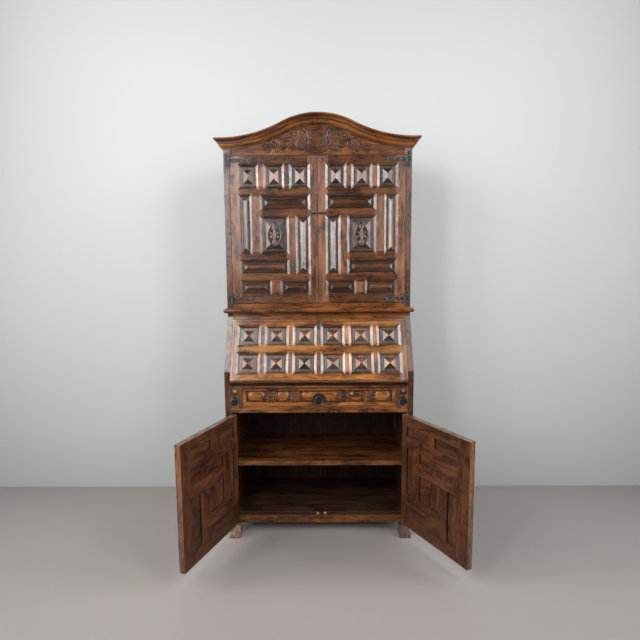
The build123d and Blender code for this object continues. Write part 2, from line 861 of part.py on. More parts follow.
# ---- lopers ----
loper_top = writing_level - flap_thickness - loper_flap_gap
loper_low = loper_floor + 0.5
loper_middle = (partition_outer + inner_x) / 2
for side, name in ((-1, "left"), (1, "right")):
    loper_x = side * loper_middle
    loper_span = (loper_x - loper_width / 2, loper_x + loper_width / 2)
    with BuildPart() as loper:
        add_box(loper_span, (0, loper_length), (loper_low, loper_top))
        loper_recess = [((loper_span[0] + loper_border, loper_span[1] - loper_border),
                         (loper_low + loper_border, loper_top - loper_border))]
        add_recessed_field(front_plane, loper_recess, 2, loper_recess_depth, 1,
                           loper_recess_depth)
    keep(loper, name + "_loper")
    loper_eye_z = loper_low + loper_eye_height
    keep(pull_plate(loper_x, 0, loper_eye_z, small_plate_radius), name + "_loper_pull_plate")
    keep(pull_ring(loper_x, 0, loper_eye_z, small_ring_radius), name + "_loper_ring")


# ---- writing flap, drawn closed ----
flap_front = Plane(origin=flap_axis + out_of_slope * flap_thickness,
                   x_dir=(1, 0, 0), z_dir=out_of_slope)
flap_span = (-inner_x + flap_side_gap, inner_x - flap_side_gap)
flap_rise = (flap_end_gap, flap_length)
cell_width = (length(flap_span) - 2 * flap_stile
              - (flap_columns - 1) * flap_bar) / flap_columns
cell_height = (flap_length - flap_bottom_rail - flap_top_rail
               - (flap_rows - 1) * flap_row_bar) / flap_rows
flap_openings = []
for row in range(flap_rows):
    cell_low = flap_bottom_rail + row * (cell_height + flap_row_bar)
    for column in range(flap_columns):
        cell_left = flap_span[0] + flap_stile + column * (cell_width + flap_bar)
        flap_openings.append(((cell_left, cell_left + cell_width),
                              (cell_low, cell_low + cell_height)))

with BuildPart() as flap_frame:
    add_frame(flap_front, flap_span, flap_rise, flap_openings, flap_thickness)
    lower_edge = (flap_frame.faces().sort_by(Axis((0, 0, 0), out_of_slope))[-1]
                  .edges().sort_by(Axis.Z)[0])
    fillet(lower_edge, radius=flap_bullnose)
    for hinge_x in (-flap_hinge_spread, flap_hinge_spread):
        hinge_span = (hinge_x - flap_hinge_length / 2 - flap_hinge_pocket,
                      hinge_x + flap_hinge_length / 2 + flap_hinge_pocket)
        with BuildSketch(Plane.YZ.offset(hinge_span[0])):
            with Locations((flap_axis.Y, flap_axis.Z)):
                Circle(flap_knuckle_radius + flap_hinge_pocket)
        extrude(amount=length(hinge_span), mode=Mode.SUBTRACT)
        with BuildSketch(flap_front.offset(flap_leaf_thickness - flap_thickness)):
            with Locations((middle(hinge_span), flap_leaf_depth / 2)):
                Rectangle(length(hinge_span), flap_leaf_depth)
        extrude(amount=-2 * flap_leaf_thickness, mode=Mode.SUBTRACT)
keep(flap_frame, "flap_frame")

with BuildPart() as flap_panels:
    add_raised_panels(flap_front, flap_openings, flap_thickness, flap_field_margin)
keep(flap_panels, "flap_panels")

with BuildPart() as flap_leaves:
    for hinge_x in (-flap_hinge_spread, flap_hinge_spread):
        with BuildSketch(flap_front.offset(flap_leaf_thickness - flap_thickness)):
            with Locations((hinge_x, flap_leaf_depth / 2 - 0.5)):
                Rectangle(flap_hinge_length - 1, flap_leaf_depth - 1)
        extrude(amount=-flap_leaf_thickness)
        start = hinge_x - flap_hinge_length / 2
        for low in (start, start + 2 * (flap_knuckle_length + knuckle_gap)):
            with BuildSketch(Plane.YZ.offset(low - knuckle_gap)):
                with Locations((flap_axis.Y, flap_axis.Z)):
                    Circle(flap_knuckle_radius + knuckle_gap)
            extrude(amount=flap_knuckle_length + 2 * knuckle_gap, mode=Mode.SUBTRACT)
        with BuildSketch(Plane.YZ.offset(start + flap_knuckle_length + knuckle_gap)):
            with Locations((flap_axis.Y, flap_axis.Z)):
                Circle(flap_knuckle_radius)
        extrude(amount=flap_knuckle_length)
        with BuildSketch(Plane.YZ.offset(start)):
            with Locations((flap_axis.Y, flap_axis.Z)):
                Circle(flap_pin_radius + pin_clearance)
        extrude(amount=flap_hinge_length, mode=Mode.SUBTRACT)
keep(flap_leaves, "flap_hinge_leaves")


def add_key_plate(plane, x, z, width, height):
    with BuildSketch(plane) as outline:
        with Locations((x, z)):
            Ellipse(width / 2, height / 2)
            Circle(keyhole_radius, mode=Mode.SUBTRACT)
            with Locations((0, -keyhole_slot / 2)):
                Rectangle(keyhole_radius, keyhole_slot, mode=Mode.SUBTRACT)
    extrude(outline.sketch, amount=key_plate_thickness)


with BuildPart() as flap_key_plate:
    add_key_plate(flap_front, 0, flap_length - key_plate_height / 2 - 1,
                  key_plate_width, key_plate_height)
keep(flap_key_plate, "flap_key_plate")


# ---- upper doors ----
def upper_door(name, side):
    hinge_edge = side * (inner_x - door_side_gap)
    span = tuple(sorted((hinge_edge, side * door_meeting_gap)))
    openings = upper_lattice(hinge_edge, side)
    with BuildPart() as frame:
        add_frame(upper_front, span, (upper_door_bottom, upper_door_top), openings,
                  upper_door_thickness)
    keep(frame, name + "_frame")
    with BuildPart() as panels:
        add_raised_panels(upper_front, openings, upper_door_thickness, field_margin, side)
        add_rosette(upper_front, openings[5])
    keep(panels, name + "_panels")
    with BuildPart() as straps:
        for z in upper_hinges:
            add_strap(side * door_hinge_x, upper_setback, z, side)
    keep(straps, name + "_straps")


upper_door("upper_left_door", -1)
upper_door("upper_right_door", 1)

# bolt on the right door, and its keeper on the left one
bolt_z = upper_door_top - bolt_drop
bolt_y = upper_setback - bolt_plate_thickness - bolt_standoff


def add_staple(x_span, bore):
    with BuildSketch(Plane.YZ.offset(x_span[0])) as outline:
        with Locations((bolt_y, bolt_z)):
            Circle(staple_radius)
    extrude(outline.sketch, amount=length(x_span))
    add_box(x_span, (bolt_y, upper_setback - bolt_plate_thickness / 2),
            (bolt_z - staple_radius, bolt_z + staple_radius))
    with BuildSketch(Plane.YZ.offset(x_span[0])) as outline:
        with Locations((bolt_y, bolt_z)):
            Circle(bore)
    extrude(outline.sketch, amount=length(x_span), mode=Mode.SUBTRACT)


bolt_end = bolt_start + bolt_length
with BuildPart() as bolt_plate:
    add_box((bolt_start + 1, bolt_end - 1), (upper_setback - bolt_plate_thickness, upper_setback),
            (bolt_z - bolt_plate_height / 2, bolt_z + bolt_plate_height / 2))
    for staple_x in (bolt_start + 3, bolt_end - 3 - staple_length):
        add_staple((staple_x, staple_x + staple_length), bolt_radius + bolt_clearance)
    with Locations((door_key_plate_x, upper_setback - key_plate_thickness / 2,
                    upper_door_top - door_key_plate_drop)):
        Cylinder(door_key_plate_radius, key_plate_thickness, rotation=(90, 0, 0))
keep(bolt_plate, "bolt_and_key_plates")

with BuildPart() as bolt:
    with BuildSketch(Plane.YZ.offset(bolt_start)):
        with Locations((bolt_y, bolt_z)):
            Circle(bolt_radius)
    extrude(amount=bolt_length)
    knob_x = bolt_end - 3 - staple_length - 4
    with Locations((knob_x, bolt_y - knob_length / 2, bolt_z)):
        Cylinder(knob_radius / 1.5, knob_length, rotation=(90, 0, 0))
    with Locations((knob_x, bolt_y - knob_length, bolt_z)):
        Sphere(knob_radius)
keep(bolt, "door_bolt")

with BuildPart() as keeper:
    keeper_span = (-keeper_start - keeper_length, -keeper_start)
    add_box(keeper_span, (upper_setback - bolt_plate_thickness, upper_setback),
            (bolt_z - bolt_plate_height / 2, bolt_z + bolt_plate_height / 2))
    add_staple((keeper_span[0] + 2, keeper_span[1] - 2), bolt_radius + 3 * bolt_clearance)
keep(keeper, "bolt_keeper")


# ---- lower doors, turned open about their hinges ----
def lower_door(name, side, open_angle):
    hinge_edge = side * (inner_x - door_side_gap)
    span = tuple(sorted((hinge_edge, side * door_meeting_gap)))
    openings = lower_lattice(hinge_edge, side)
    with BuildPart() as frame:
        add_frame(front_plane, span, (lower_door_bottom, lower_door_top), openings,
                  lower_door_thickness)
    with BuildPart() as panels:
        add_raised_panels(front_plane, openings, lower_door_thickness, field_margin, side)
    with BuildPart() as straps:
        for z in lower_hinges:
            add_strap(side * door_hinge_x, 0, z, side)
    pull_x = side * (door_meeting_gap + door_pull_inset)
    pull_z = lower_door_bottom + door_pull_height
    plate = pull_plate(pull_x, 0, pull_z, small_plate_radius)
    ring = pull_ring(pull_x, 0, pull_z, small_ring_radius)
    hinge_axis = Axis((side * door_hinge_x, -hinge_drop, 0), (0, 0, 1))
    for piece, what in ((frame, "_frame"), (panels, "_panels"), (straps, "_straps"),
                        (plate, "_pull_plate"), (ring, "_ring")):
        turned = piece.part.rotate(hinge_axis, side * open_angle)
        turned.label = name + what
        pieces.append(turned)


lower_door("lower_left_door", -1, left_open_angle)
lower_door("lower_right_door", 1, right_open_angle)

# ---- write every piece, centred over the whole object's footprint ----
whole = Compound(children=[piece.moved(Location()) for piece in pieces]).bounding_box()
centre_shift = (-(whole.min.X + whole.max.X) / 2, -(whole.min.Y + whole.max.Y) / 2, 0)

if __name__ == "__main__":
    for piece in pieces:
        placed = piece.moved(Location(centre_shift))
        placed.label = piece.label
        export_step(placed, f"parts/{piece.label}.step")
    print(len(pieces), "pieces, size", whole.size, "shift", centre_shift)
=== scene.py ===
import bpy
from math import atan2, cos, pi, radians, sin
from mathutils import Matrix, Vector
import numpy as np


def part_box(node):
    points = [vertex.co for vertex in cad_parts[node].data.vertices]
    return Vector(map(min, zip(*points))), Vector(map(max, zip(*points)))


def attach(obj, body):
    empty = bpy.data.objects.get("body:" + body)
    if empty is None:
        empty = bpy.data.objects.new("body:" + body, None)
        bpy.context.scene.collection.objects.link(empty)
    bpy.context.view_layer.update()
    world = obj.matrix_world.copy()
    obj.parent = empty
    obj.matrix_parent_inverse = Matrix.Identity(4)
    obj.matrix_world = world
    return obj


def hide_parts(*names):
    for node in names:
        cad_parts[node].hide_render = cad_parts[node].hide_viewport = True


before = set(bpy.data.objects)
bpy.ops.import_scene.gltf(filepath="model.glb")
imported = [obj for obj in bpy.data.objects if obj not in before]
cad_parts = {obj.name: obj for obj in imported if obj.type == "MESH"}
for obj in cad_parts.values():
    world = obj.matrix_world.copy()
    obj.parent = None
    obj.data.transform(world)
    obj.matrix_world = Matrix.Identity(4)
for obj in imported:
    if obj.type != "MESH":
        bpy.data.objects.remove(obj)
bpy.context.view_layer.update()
print("frame loaded:", len(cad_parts), "nodes")

mm = 0.001
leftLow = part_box("base_left_side")[0]
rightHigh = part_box("base_right_side")[1]
# the middle of the case's front, on the floor
caseOrigin = np.array([(leftLow[0] + rightHigh[0]) / 2, leftLow[1], 0.0])


# small mesh helpers, all in millimetres of the case
def toRow(points):
    return np.asarray(points, float) * mm + caseOrigin


def addPiece(name, points, faces, material, body, pointData=None, faceData=None, smooth=False,
             laid=None):
    mesh = bpy.data.meshes.new(name)
    mesh.from_pydata(toRow(points).tolist(), [], [list(map(int, f)) for f in faces])
    if laid is not None:                     # the points before the piece was turned or tilted, for its grain
        data = mesh.attributes.new("laid", "FLOAT_VECTOR", "POINT").data
        data.foreach_set("vector", (laid * mm).astype(np.float32).ravel())
    for domain, table in (("POINT", pointData), ("FACE", faceData)):
        for key, values in (table or {}).items():
            data = mesh.attributes.new(key, "FLOAT", domain).data
            data.foreach_set("value", np.asarray(values, np.float32))
    mesh.materials.append(material)
    mesh.polygons.foreach_set("use_smooth", np.full(len(mesh.polygons), smooth))
    mesh.update()
    piece = bpy.data.objects.new(name, mesh)
    bpy.context.scene.collection.objects.link(piece)
    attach(piece, body)
    return piece


def bevelled(piece, width=0.5, segments=2, angle=22):
    bevel = piece.modifiers.new("softEdges", "BEVEL")
    bevel.width = width * mm
    bevel.segments = segments
    bevel.limit_method = "ANGLE"
    bevel.angle_limit = radians(angle)


def gridFaces(rows, columns, closedAcross=False, closedUp=False):
    # quads between neighbouring points of a rows x columns grid
    i = np.arange(rows if closedUp else rows - 1)
    j = np.arange(columns if closedAcross else columns - 1)
    ii, jj = np.meshgrid(i, j, indexing="ij")
    nextI, nextJ = (ii + 1) % rows, (jj + 1) % columns
    corners = [ii * columns + jj, ii * columns + nextJ, nextI * columns + nextJ, nextI * columns + jj]
    return np.stack(corners, -1).reshape(-1, 4)


def cappedFaces(rows, columns, first=0):
    # rings joined by quads, with the first and the last ring closed by one face each
    last = first + (rows - 1) * columns
    return (gridFaces(rows, columns, closedAcross=True) + first).tolist() + [
        list(range(first, first + columns))[::-1], list(range(last, last + columns))]


def turnedAbout(points, x, y, angle):
    # turn about a vertical axis through x, y
    p = np.array(points, float)
    c, s = cos(radians(angle)), sin(radians(angle))
    dx, dy = p[:, 0] - x, p[:, 1] - y
    p[:, 0], p[:, 1] = x + dx * c - dy * s, y + dx * s + dy * c
    return p


# shader groups
class Nodes:
    # short way to add nodes and wires to a tree
    def __init__(self, tree):
        self.tree = tree

    def add(self, kind, **values):
        node = self.tree.nodes.new(kind)
        for key, value in values.items():
            setattr(node, key, value)
        return node

    def feed(self, socket, value):
        # an output is wired to the socket, a number or a tuple is set on it
        if isinstance(value, bpy.types.NodeSocket):
            self.tree.links.new(value, socket)
        elif isinstance(value, tuple) and socket.type == "RGBA":
            socket.default_value = (*value, 1.0)
        elif value is not None:
            socket.default_value = value

    def make(self, kind, values, **settings):
        # values go to the inputs by name, or in their order
        node = self.add(kind, **settings)
        for key, value in values.items() if isinstance(values, dict) else enumerate(values):
            self.feed(node.inputs[key], value)
        return node.outputs

    def math(self, operation, a, b=None, clamp=False):
        return self.make("ShaderNodeMath", (a, b), operation=operation, use_clamp=clamp)[0]

    def times(self, a, b, clamp=False):
        return self.math("MULTIPLY", a, b, clamp)

    def vectorMath(self, operation, a, b):
        outputs = self.make("ShaderNodeVectorMath", (a, b), operation=operation)
        return outputs["Value" if operation == "DOT_PRODUCT" else "Vector"]

    def range(self, value, low, high, toLow=0.0, toHigh=1.0, smooth=True):
        kind = "SMOOTHSTEP" if smooth else "LINEAR"
        values = (value, low, high, toLow, toHigh)
        return self.make("ShaderNodeMapRange", values, interpolation_type=kind)["Result"]

    def noise(self, vector, scale, detail=3.0, roughness=0.55, distortion=0.0):
        return self.make("ShaderNodeTexNoise", {"Vector": vector, "Scale": scale, "Detail": detail,
                                                "Roughness": roughness, "Distortion": distortion})["Fac"]

    def mixColor(self, factor, a, b, blend="MIX"):
        return self.make("ShaderNodeMix", {0: factor, 6: a, 7: b}, data_type="RGBA", blend_type=blend)[2]

    def mixVector(self, factor, a, b):
        return self.make("ShaderNodeMix", {0: factor, 4: a, 5: b}, data_type="VECTOR")[1]

    def scaled(self, vector, scale, offset=(0, 0, 0)):
        return self.make("ShaderNodeMapping", {"Vector": vector, "Scale": scale, "Location": offset})[0]

    def combined(self, values, kind="ShaderNodeCombineXYZ"):
        return self.make(kind, values)[0]

    def axis(self, vector, place):
        return self.make("ShaderNodeSeparateXYZ", [vector])[place]

    def attribute(self, name, output="Fac"):
        return self.add("ShaderNodeAttribute", attribute_name=name).outputs[output]

    def normal(self):
        return self.add("ShaderNodeNewGeometry").outputs["Normal"]

    def group(self, tree, **values):
        return self.make("ShaderNodeGroup", values, node_tree=tree)

    def bump(self, shader, height, distance, strength):
        bumped = self.make("ShaderNodeBump", {"Height": height, "Distance": distance, "Strength": strength})
        self.feed(shader.inputs["Normal"], bumped[0])


def newGroup(name, inputs, outputs):
    group = bpy.data.node_groups.new(name, "ShaderNodeTree")
    group.interface.new_socket("Vector", in_out="INPUT", socket_type="NodeSocketVector")
    for label, value in inputs.items():
        group.interface.new_socket(label, in_out="INPUT", socket_type="NodeSocketFloat").default_value = value
    for label in outputs:
        group.interface.new_socket(label, in_out="OUTPUT", socket_type="NodeSocketFloat")
    n = Nodes(group)
    return group, n, n.add("NodeGroupInput").outputs, n.add("NodeGroupOutput").inputs


grainLook = {
    "squeeze": 14.0, "patchSqueeze": 4.0, "shiftBy": (3.1, 5.7, 4.3), "bendScale": 7.0, "bendBy": 1.6,
    "wideScale": 2.2, "lineScale": 8.0, "dashScale": 42.0, "streakScale": 16.0, "blotchScale": 4.5,
    "shadeScale": 6.0, "shadeOffset": (7.3, 2.9, 5.1), "figureFrom": (0.39, 0.61), "dashesFrom": (0.54, 0.70),
    "streaksFrom": (0.54, 0.68), "blotchFrom": (0.42, 0.64), "shadeFrom": (0.47, 0.66),
    "openFrom": (0.45, 0.75), "lineHeight": 1.2, "openDepth": 0.55}


def timberGroup(look):
    # figure: wide soft streaks, pores: fine dark dashes, blotch and shade: uneven stain, height: open grain
    group, n, given, out = newGroup("timberGrain", {"Along": 0.0, "Shift": 0.0},
                                    ["Figure", "Pores", "Blotch", "Shade", "Height"])
    # Along is 0 for grain along x, 1 along z and 2 along y
    isZ = n.range(given["Along"], 0.4, 0.6, smooth=False)
    isY = n.range(given["Along"], 1.4, 1.6, smooth=False)
    shift = n.combined([n.times(given["Shift"], by) for by in look["shiftBy"]])

    def stretched(k):                        # squeezed k times across the grain, then shifted
        alongX = n.scaled(given["Vector"], (1.0, k, k))
        alongZ = n.scaled(given["Vector"], (k, k, 1.0))
        alongY = n.scaled(given["Vector"], (k, 1.0, k))
        return n.vectorMath("ADD", n.mixVector(isY, n.mixVector(isZ, alongX, alongZ), alongY), shift)

    vector, patches = stretched(look["squeeze"]), stretched(look["patchSqueeze"])
    bend = n.noise(given["Vector"], look["bendScale"], 2.0)
    bent = n.vectorMath("ADD", n.combined([n.times(bend, look["bendBy"])] * 3), vector)
    wide = n.noise(bent, look["wideScale"], 3.0, 0.55, 0.3)
    lines = n.noise(bent, look["lineScale"], 5.0, 0.62, 0.1)
    both = n.math("ADD", n.times(wide, 0.5), n.times(lines, 0.5))
    n.feed(out["Figure"], n.range(both, *look["figureFrom"]))
    dashes = n.noise(vector, look["dashScale"], 3.0, 0.7)
    streaks = n.noise(n.scaled(vector, (0.6, 0.6, 0.6)), look["streakScale"], 3.0, 0.6)
    darkDashes, darkStreaks = n.range(dashes, *look["dashesFrom"]), n.range(streaks, *look["streaksFrom"])
    n.feed(out["Pores"], n.math("MAXIMUM", darkDashes, darkStreaks))
    n.feed(out["Blotch"], n.range(n.noise(patches, look["blotchScale"], 4.0, 0.6, 0.4), *look["blotchFrom"]))
    elsewhere = n.scaled(patches, (1, 1, 1), look["shadeOffset"])
    n.feed(out["Shade"], n.range(n.noise(elsewhere, look["shadeScale"], 5.0, 0.62, 0.6), *look["shadeFrom"]))
    opened = n.times(n.range(dashes, *look["openFrom"]), look["openDepth"])
    n.feed(out["Height"], n.math("SUBTRACT", n.times(lines, look["lineHeight"]), opened))
    return group


wearAndShadeLook = {
    "edgeRadius": 0.0032, "edgeFrom": (0.995, 0.90), "edgeNoise": 60.0, "breaks": (0.35, 0.62),
    "hollowReach": 0.02, "hollowFrom": (0.75, 0.25), "hollowNoise": 35.0, "patches": (0.2, 0.7, 0.75, 1.0)}


def wearAndShadeGroup(look):
    # edges: where a rounded normal leaves the true one, broken by noise; hollow: where little sky is seen, a
    # mask of grime and painted shade
    group, n, given, out = newGroup("edgesAndHollows", {"Wear": 1.0, "Grime": 1.0}, ["Edges", "Hollow"])
    rounded = n.add("ShaderNodeBevel", samples=4)
    rounded.inputs["Radius"].default_value = look["edgeRadius"]
    edge = n.range(n.vectorMath("DOT_PRODUCT", rounded.outputs["Normal"], n.normal()), *look["edgeFrom"])
    broken = n.range(n.noise(given["Vector"], look["edgeNoise"], 4.0, 0.65), *look["breaks"])
    n.feed(out["Edges"], n.times(n.times(edge, broken), given["Wear"], True))
    sky = n.add("ShaderNodeAmbientOcclusion", samples=6)
    sky.inputs["Distance"].default_value = look["hollowReach"]
    hollow = n.range(sky.outputs["AO"], *look["hollowFrom"])
    patchy = n.range(n.noise(given["Vector"], look["hollowNoise"], 3.0), *look["patches"])
    n.feed(out["Hollow"], n.times(n.times(hollow, patchy), given["Grime"], True))
    return group


timber = timberGroup(grainLook)
edgesAndHollows = wearAndShadeGroup(wearAndShadeLook)
# shared by all woods: shift of the grain with tone, pores, roughness in hollows, polish, plane marks
woodFinish = {
    "toneShift": 9.0, "poreDepth": 0.55, "leastTone": 0.2, "hollowRough": 0.25, "poreRough": 0.12,
    "thinPolish": 0.35, "coatIor": 1.6, "coatRough": 0.20, "planeScale": 26.0, "planeRise": 2.0,
    "reliefDepth": 0.0006, "grimeAndShadeFrom": (0.1, 1.0), "facing": (0.4, 0.8), "facingFront": (-0.5, -0.9),
    "middleBand": (-0.05, 0.05)}


def startMaterial(name):
    material = bpy.data.materials.new(name)
    material.use_nodes = True
    return material, Nodes(material.node_tree), material.node_tree.nodes["Principled BSDF"]


def woodMaterial(name, *looks, **changes):
    look = {}
    for part in (*looks, changes):
        look.update(part)
    material, n, shader = startMaterial(name)
    if look.get("laid"):
        place = n.attribute("laid", "Vector")
    else:
        place = n.add("ShaderNodeTexCoord").outputs["UV" if look.get("uv") else "Object"]
    tone = n.attribute("tone")               # nought where a piece has none
    shift = n.math("ADD", n.times(tone, woodFinish["toneShift"]), look.get("shift", 0.0))
    grain = n.group(timber, Vector=place, Along=look["along"], Shift=shift)
    wearAndShade = n.group(edgesAndHollows, Vector=place, Wear=look["wear"], Grime=look["grimeAndShade"])

    color = n.mixColor(grain["Figure"], look["dark"], look["light"])
    color = n.mixColor(n.times(grain["Blotch"], look["blotch"]), color, look["warm"])
    if look.get("rightSide"):                # drawn darker right of the middle
        rightHalf = n.range(n.axis(place, 0), *woodFinish["middleBand"])
        color = n.mixColor(rightHalf, color, n.mixColor(grain["Figure"], *look["rightSide"]))
    color = n.mixColor(n.times(grain["Pores"], woodFinish["poreDepth"]), color, look["pore"])
    bright = n.math("ADD", n.times(tone, look["toneSpread"]), 1.0)
    bright = n.math("MAXIMUM", bright, woodFinish["leastTone"])
    bright = n.times(bright, n.range(grain["Shade"], 0.0, 1.0, 1.0, look["shade"], False))
    if look.get("otherFace"):                # painted shade: the faces turned along one axis are drawn darker or lighter by a factor
        axis, depth = look["otherFace"]
        bright = n.times(bright, n.range(n.axis(n.normal(), axis), *woodFinish["facing"], 1.0, depth))
    color = n.mixColor(1.0, color, n.combined([bright] * 3, "ShaderNodeCombineColor"), "MULTIPLY")
    color = n.mixColor(wearAndShade["Edges"], color, look["bare"])
    # dirt and painted shade: hollows, and the darkened places marked on each piece, draw the colour toward
    # near black
    settledDirtAndShade = n.times(n.range(n.attribute("grimeAndShade"), *woodFinish["grimeAndShadeFrom"]), look["settledDirtAndShade"])
    dirtAndShade = n.math("MAXIMUM", wearAndShade["Hollow"], settledDirtAndShade)
    if look.get("shadedEdge"):               # painted shadow: a front edge is drawn black above a level, under the flap
        facingFront = n.range(n.axis(n.normal(), 1), *woodFinish["facingFront"])
        dirtAndShade = n.math("MAXIMUM", dirtAndShade, n.times(n.range(n.axis(place, 2), *look["shadedEdge"]), facingFront))
    n.feed(shader.inputs["Base Color"], n.mixColor(dirtAndShade, color, look["dirtAndShade"]))

    rough = n.range(grain["Blotch"], 0.0, 1.0, *look["rough"], False)
    rough = n.math("ADD", rough, n.times(wearAndShade["Hollow"], woodFinish["hollowRough"]), True)
    rough = n.math("ADD", rough, n.times(grain["Pores"], woodFinish["poreRough"]), True)
    n.feed(shader.inputs["Roughness"], rough)
    shader.inputs["IOR"].default_value = look["ior"]
    thinPolish = woodFinish["thinPolish"] * look["coat"]                     # on the dark streaks
    n.feed(shader.inputs["Coat Weight"], n.range(grain["Figure"], 0.0, 1.0, thinPolish, look["coat"], False))
    shader.inputs["Coat IOR"].default_value = woodFinish["coatIor"]
    shader.inputs["Coat Roughness"].default_value = woodFinish["coatRough"]
    # fibres spread a highlight across the grain; they are a little askew, so that no face is square to one
    shader.inputs["Anisotropic"].default_value = look["spread"]
    if look.get("fixed"):
        tangent = n.combined(look["fixed"])
    else:
        tangent = n.vectorMath("CROSS_PRODUCT", n.normal(), look["fibres"])
    n.feed(shader.inputs["Tangent"], tangent)
    planed = n.times(n.noise(place, woodFinish["planeScale"], 2.0), woodFinish["planeRise"])
    n.bump(shader, n.math("ADD", grain["Height"], planed), woodFinish["reliefDepth"], look["bump"])
    return material


# walnut, stained and polished: the same boards in different places
alongX, alongY, alongZ = (1, 0.04, 0.06), (0.04, 1, 0.06), (0.04, 0.06, 1)
walnut = {
    "along": 0, "fibres": alongX, "dark": (0.036, 0.010, 0.003), "light": (0.225, 0.068, 0.014),
    "warm": (0.420, 0.155, 0.034), "pore": (0.010, 0.003, 0.001), "bare": (0.36, 0.18, 0.08),
    "dirtAndShade": (0.005, 0.002, 0.002), "settledDirtAndShade": 0.95, "blotch": 0.5, "shade": 0.62, "toneSpread": 0.45,
    "wear": 0.35, "grimeAndShade": 0.95, "rough": (0.26, 0.38), "coat": 0.4, "ior": 1.4, "bump": 0.6, "spread": 0.75}
# boards on end are rubbed brighter
upright = {**walnut, "along": 1, "fibres": alongZ, "coat": 0.8, "ior": 1.6, "rough": (0.24, 0.34)}
walnutAcross = woodMaterial("walnutAcross", walnut)
# painted shade: the shelf's top is drawn darker than its edges
walnutShelfShadedTop = woodMaterial("walnutShelfShadedTop", walnut, otherFace=(2, 0.55))
# the writing board's front edge carries the flap's painted shadow
writingEdgePaintedShadow = woodMaterial("writingEdgePaintedShadow", walnut, shadedEdge=(0.7555, 0.7615))
walnutSide = woodMaterial(
    "walnutSide", upright, dark=(0.030, 0.009, 0.003), light=(0.120, 0.036, 0.010),
    warm=(0.200, 0.068, 0.018), blotch=0.4, shade=0.8, shift=2.3)
walnutCarved = woodMaterial(
    "walnutCarved", walnut, light=(0.190, 0.060, 0.015), warm=(0.330, 0.125, 0.032), wear=0.4,
    rough=(0.36, 0.48), coat=0.25, shift=5.2, spread=0.2)
walnutMoulding = woodMaterial("walnutMoulding", walnut, uv=True, shift=1.2)
# doors turn about an upright axis, the flap about a level one: each says which way its highlights spread
doorLook = {"laid": True, "dark": (0.022, 0.007, 0.003), "shade": 0.55}
deskLook = {"laid": True, "light": (0.205, 0.067, 0.015), "warm": (0.440, 0.190, 0.046)}
backLook = {
    "laid": True, "dark": (0.022, 0.007, 0.003), "light": (0.084, 0.028, 0.010),
    "warm": (0.140, 0.052, 0.017), "coat": 0.03, "rough": (0.42, 0.58), "spread": 0.4, "ior": 1.35,
    "shade": 0.72, "blotch": 0.4}
# partly painted sheen: the doors' upright boards are drawn lighter than their level rails
doorWood = [
    woodMaterial(
        "doorAcross", walnut, doorLook, light=(0.098, 0.031, 0.010), warm=(0.185, 0.069, 0.020), coat=0.6,
        ior=1.5, fixed=alongZ),
    woodMaterial(
        "doorUp", upright, doorLook, light=(0.160, 0.053, 0.016), warm=(0.300, 0.116, 0.034), coat=1.0)]
deskWood = [
    woodMaterial("deskAcross", walnut, deskLook), woodMaterial("deskUp", upright, deskLook, fixed=alongX)]
drawerWood = [
    woodMaterial(
        "drawerAcross", walnut, laid=True, light=(0.290, 0.092, 0.018), warm=(0.500, 0.200, 0.044), wear=0.5),
    woodMaterial("drawerUp", upright, laid=True)]
doorBackWood = [
    woodMaterial("doorBackAcross", walnut, backLook, fixed=alongZ),
    woodMaterial("doorBackUp", upright, backLook)]
# painted shade: the inside of the case is unpolished walnut drawn far darker than outside, and the back
# boards' outer face is drawn lighter again
shadedInside = {
    **walnut, "dark": (0.012, 0.004, 0.002), "light": (0.046, 0.017, 0.007), "warm": (0.072, 0.028, 0.011),
    "shade": 0.75, "blotch": 0.4, "wear": 0.5, "rough": (0.5, 0.7), "coat": 0.0, "spread": 0.2}
shadedInsideAcross = woodMaterial("shadedInsideAcross", shadedInside)
shadedInsideUp = woodMaterial("shadedInsideUp", shadedInside, along=1, fibres=alongZ, shift=1.7, otherFace=(1, 2.6))
shadedInsideDeep = woodMaterial("shadedInsideDeep", shadedInside, along=2, fibres=alongY, shift=3.3)
footWood = woodMaterial(
    "footWood", upright, dark=(0.16, 0.09, 0.05), light=(0.42, 0.28, 0.17), warm=(0.30, 0.17, 0.09),
    bare=(0.55, 0.42, 0.29), blotch=0.7, wear=0.6, rough=(0.45, 0.65), coat=0.0, spread=0.2,
    rightSide=((0.05, 0.028, 0.02), (0.16, 0.095, 0.07)))
medallionWood = woodMaterial(
    "carvedDark", walnut, along=1, dark=(0.030, 0.012, 0.006), light=(0.150, 0.075, 0.040),
    warm=(0.22, 0.115, 0.06), bare=(0.34, 0.23, 0.15), wear=0.7, rough=(0.28, 0.40), coat=0.9, ior=1.55)
discWood = woodMaterial(
    "discWood", upright, dark=(0.040, 0.013, 0.005), light=(0.180, 0.060, 0.017), warm=(0.27, 0.100, 0.028),
    bare=(0.25, 0.11, 0.05), coat=0.15, ior=1.4, rough=(0.4, 0.52))
print("wood materials done")


forged = {
    "mottleScale": 220.0, "mottleFrom": (0.35, 0.65), "rustScale": 90.0, "rustFrom": (0.55, 0.75),
    "hammerScale": 160.0, "hammerDepth": 0.0004, "hammerBump": 0.6}


def metalMaterial(name, dark, light, rust, bare, metallic, rough, wear):
    material, n, shader = startMaterial(name)
    place = n.add("ShaderNodeTexCoord").outputs["Object"]
    wearAndShade = n.group(edgesAndHollows, Vector=place, Wear=wear)
    mottle = n.range(n.noise(place, forged["mottleScale"], 4.0, 0.6), *forged["mottleFrom"])
    rusty = n.range(n.noise(place, forged["rustScale"], 3.0), *forged["rustFrom"])
    color = n.mixColor(rusty, n.mixColor(mottle, dark, light), rust)
    n.feed(shader.inputs["Base Color"], n.mixColor(wearAndShade["Edges"], color, bare))
    shader.inputs["Metallic"].default_value = metallic
    n.feed(shader.inputs["Roughness"], n.range(mottle, 0.0, 1.0, *rough, False))
    hammered = n.noise(place, forged["hammerScale"], 4.0, 0.6)
    n.bump(shader, hammered, forged["hammerDepth"], forged["hammerBump"])
    return material


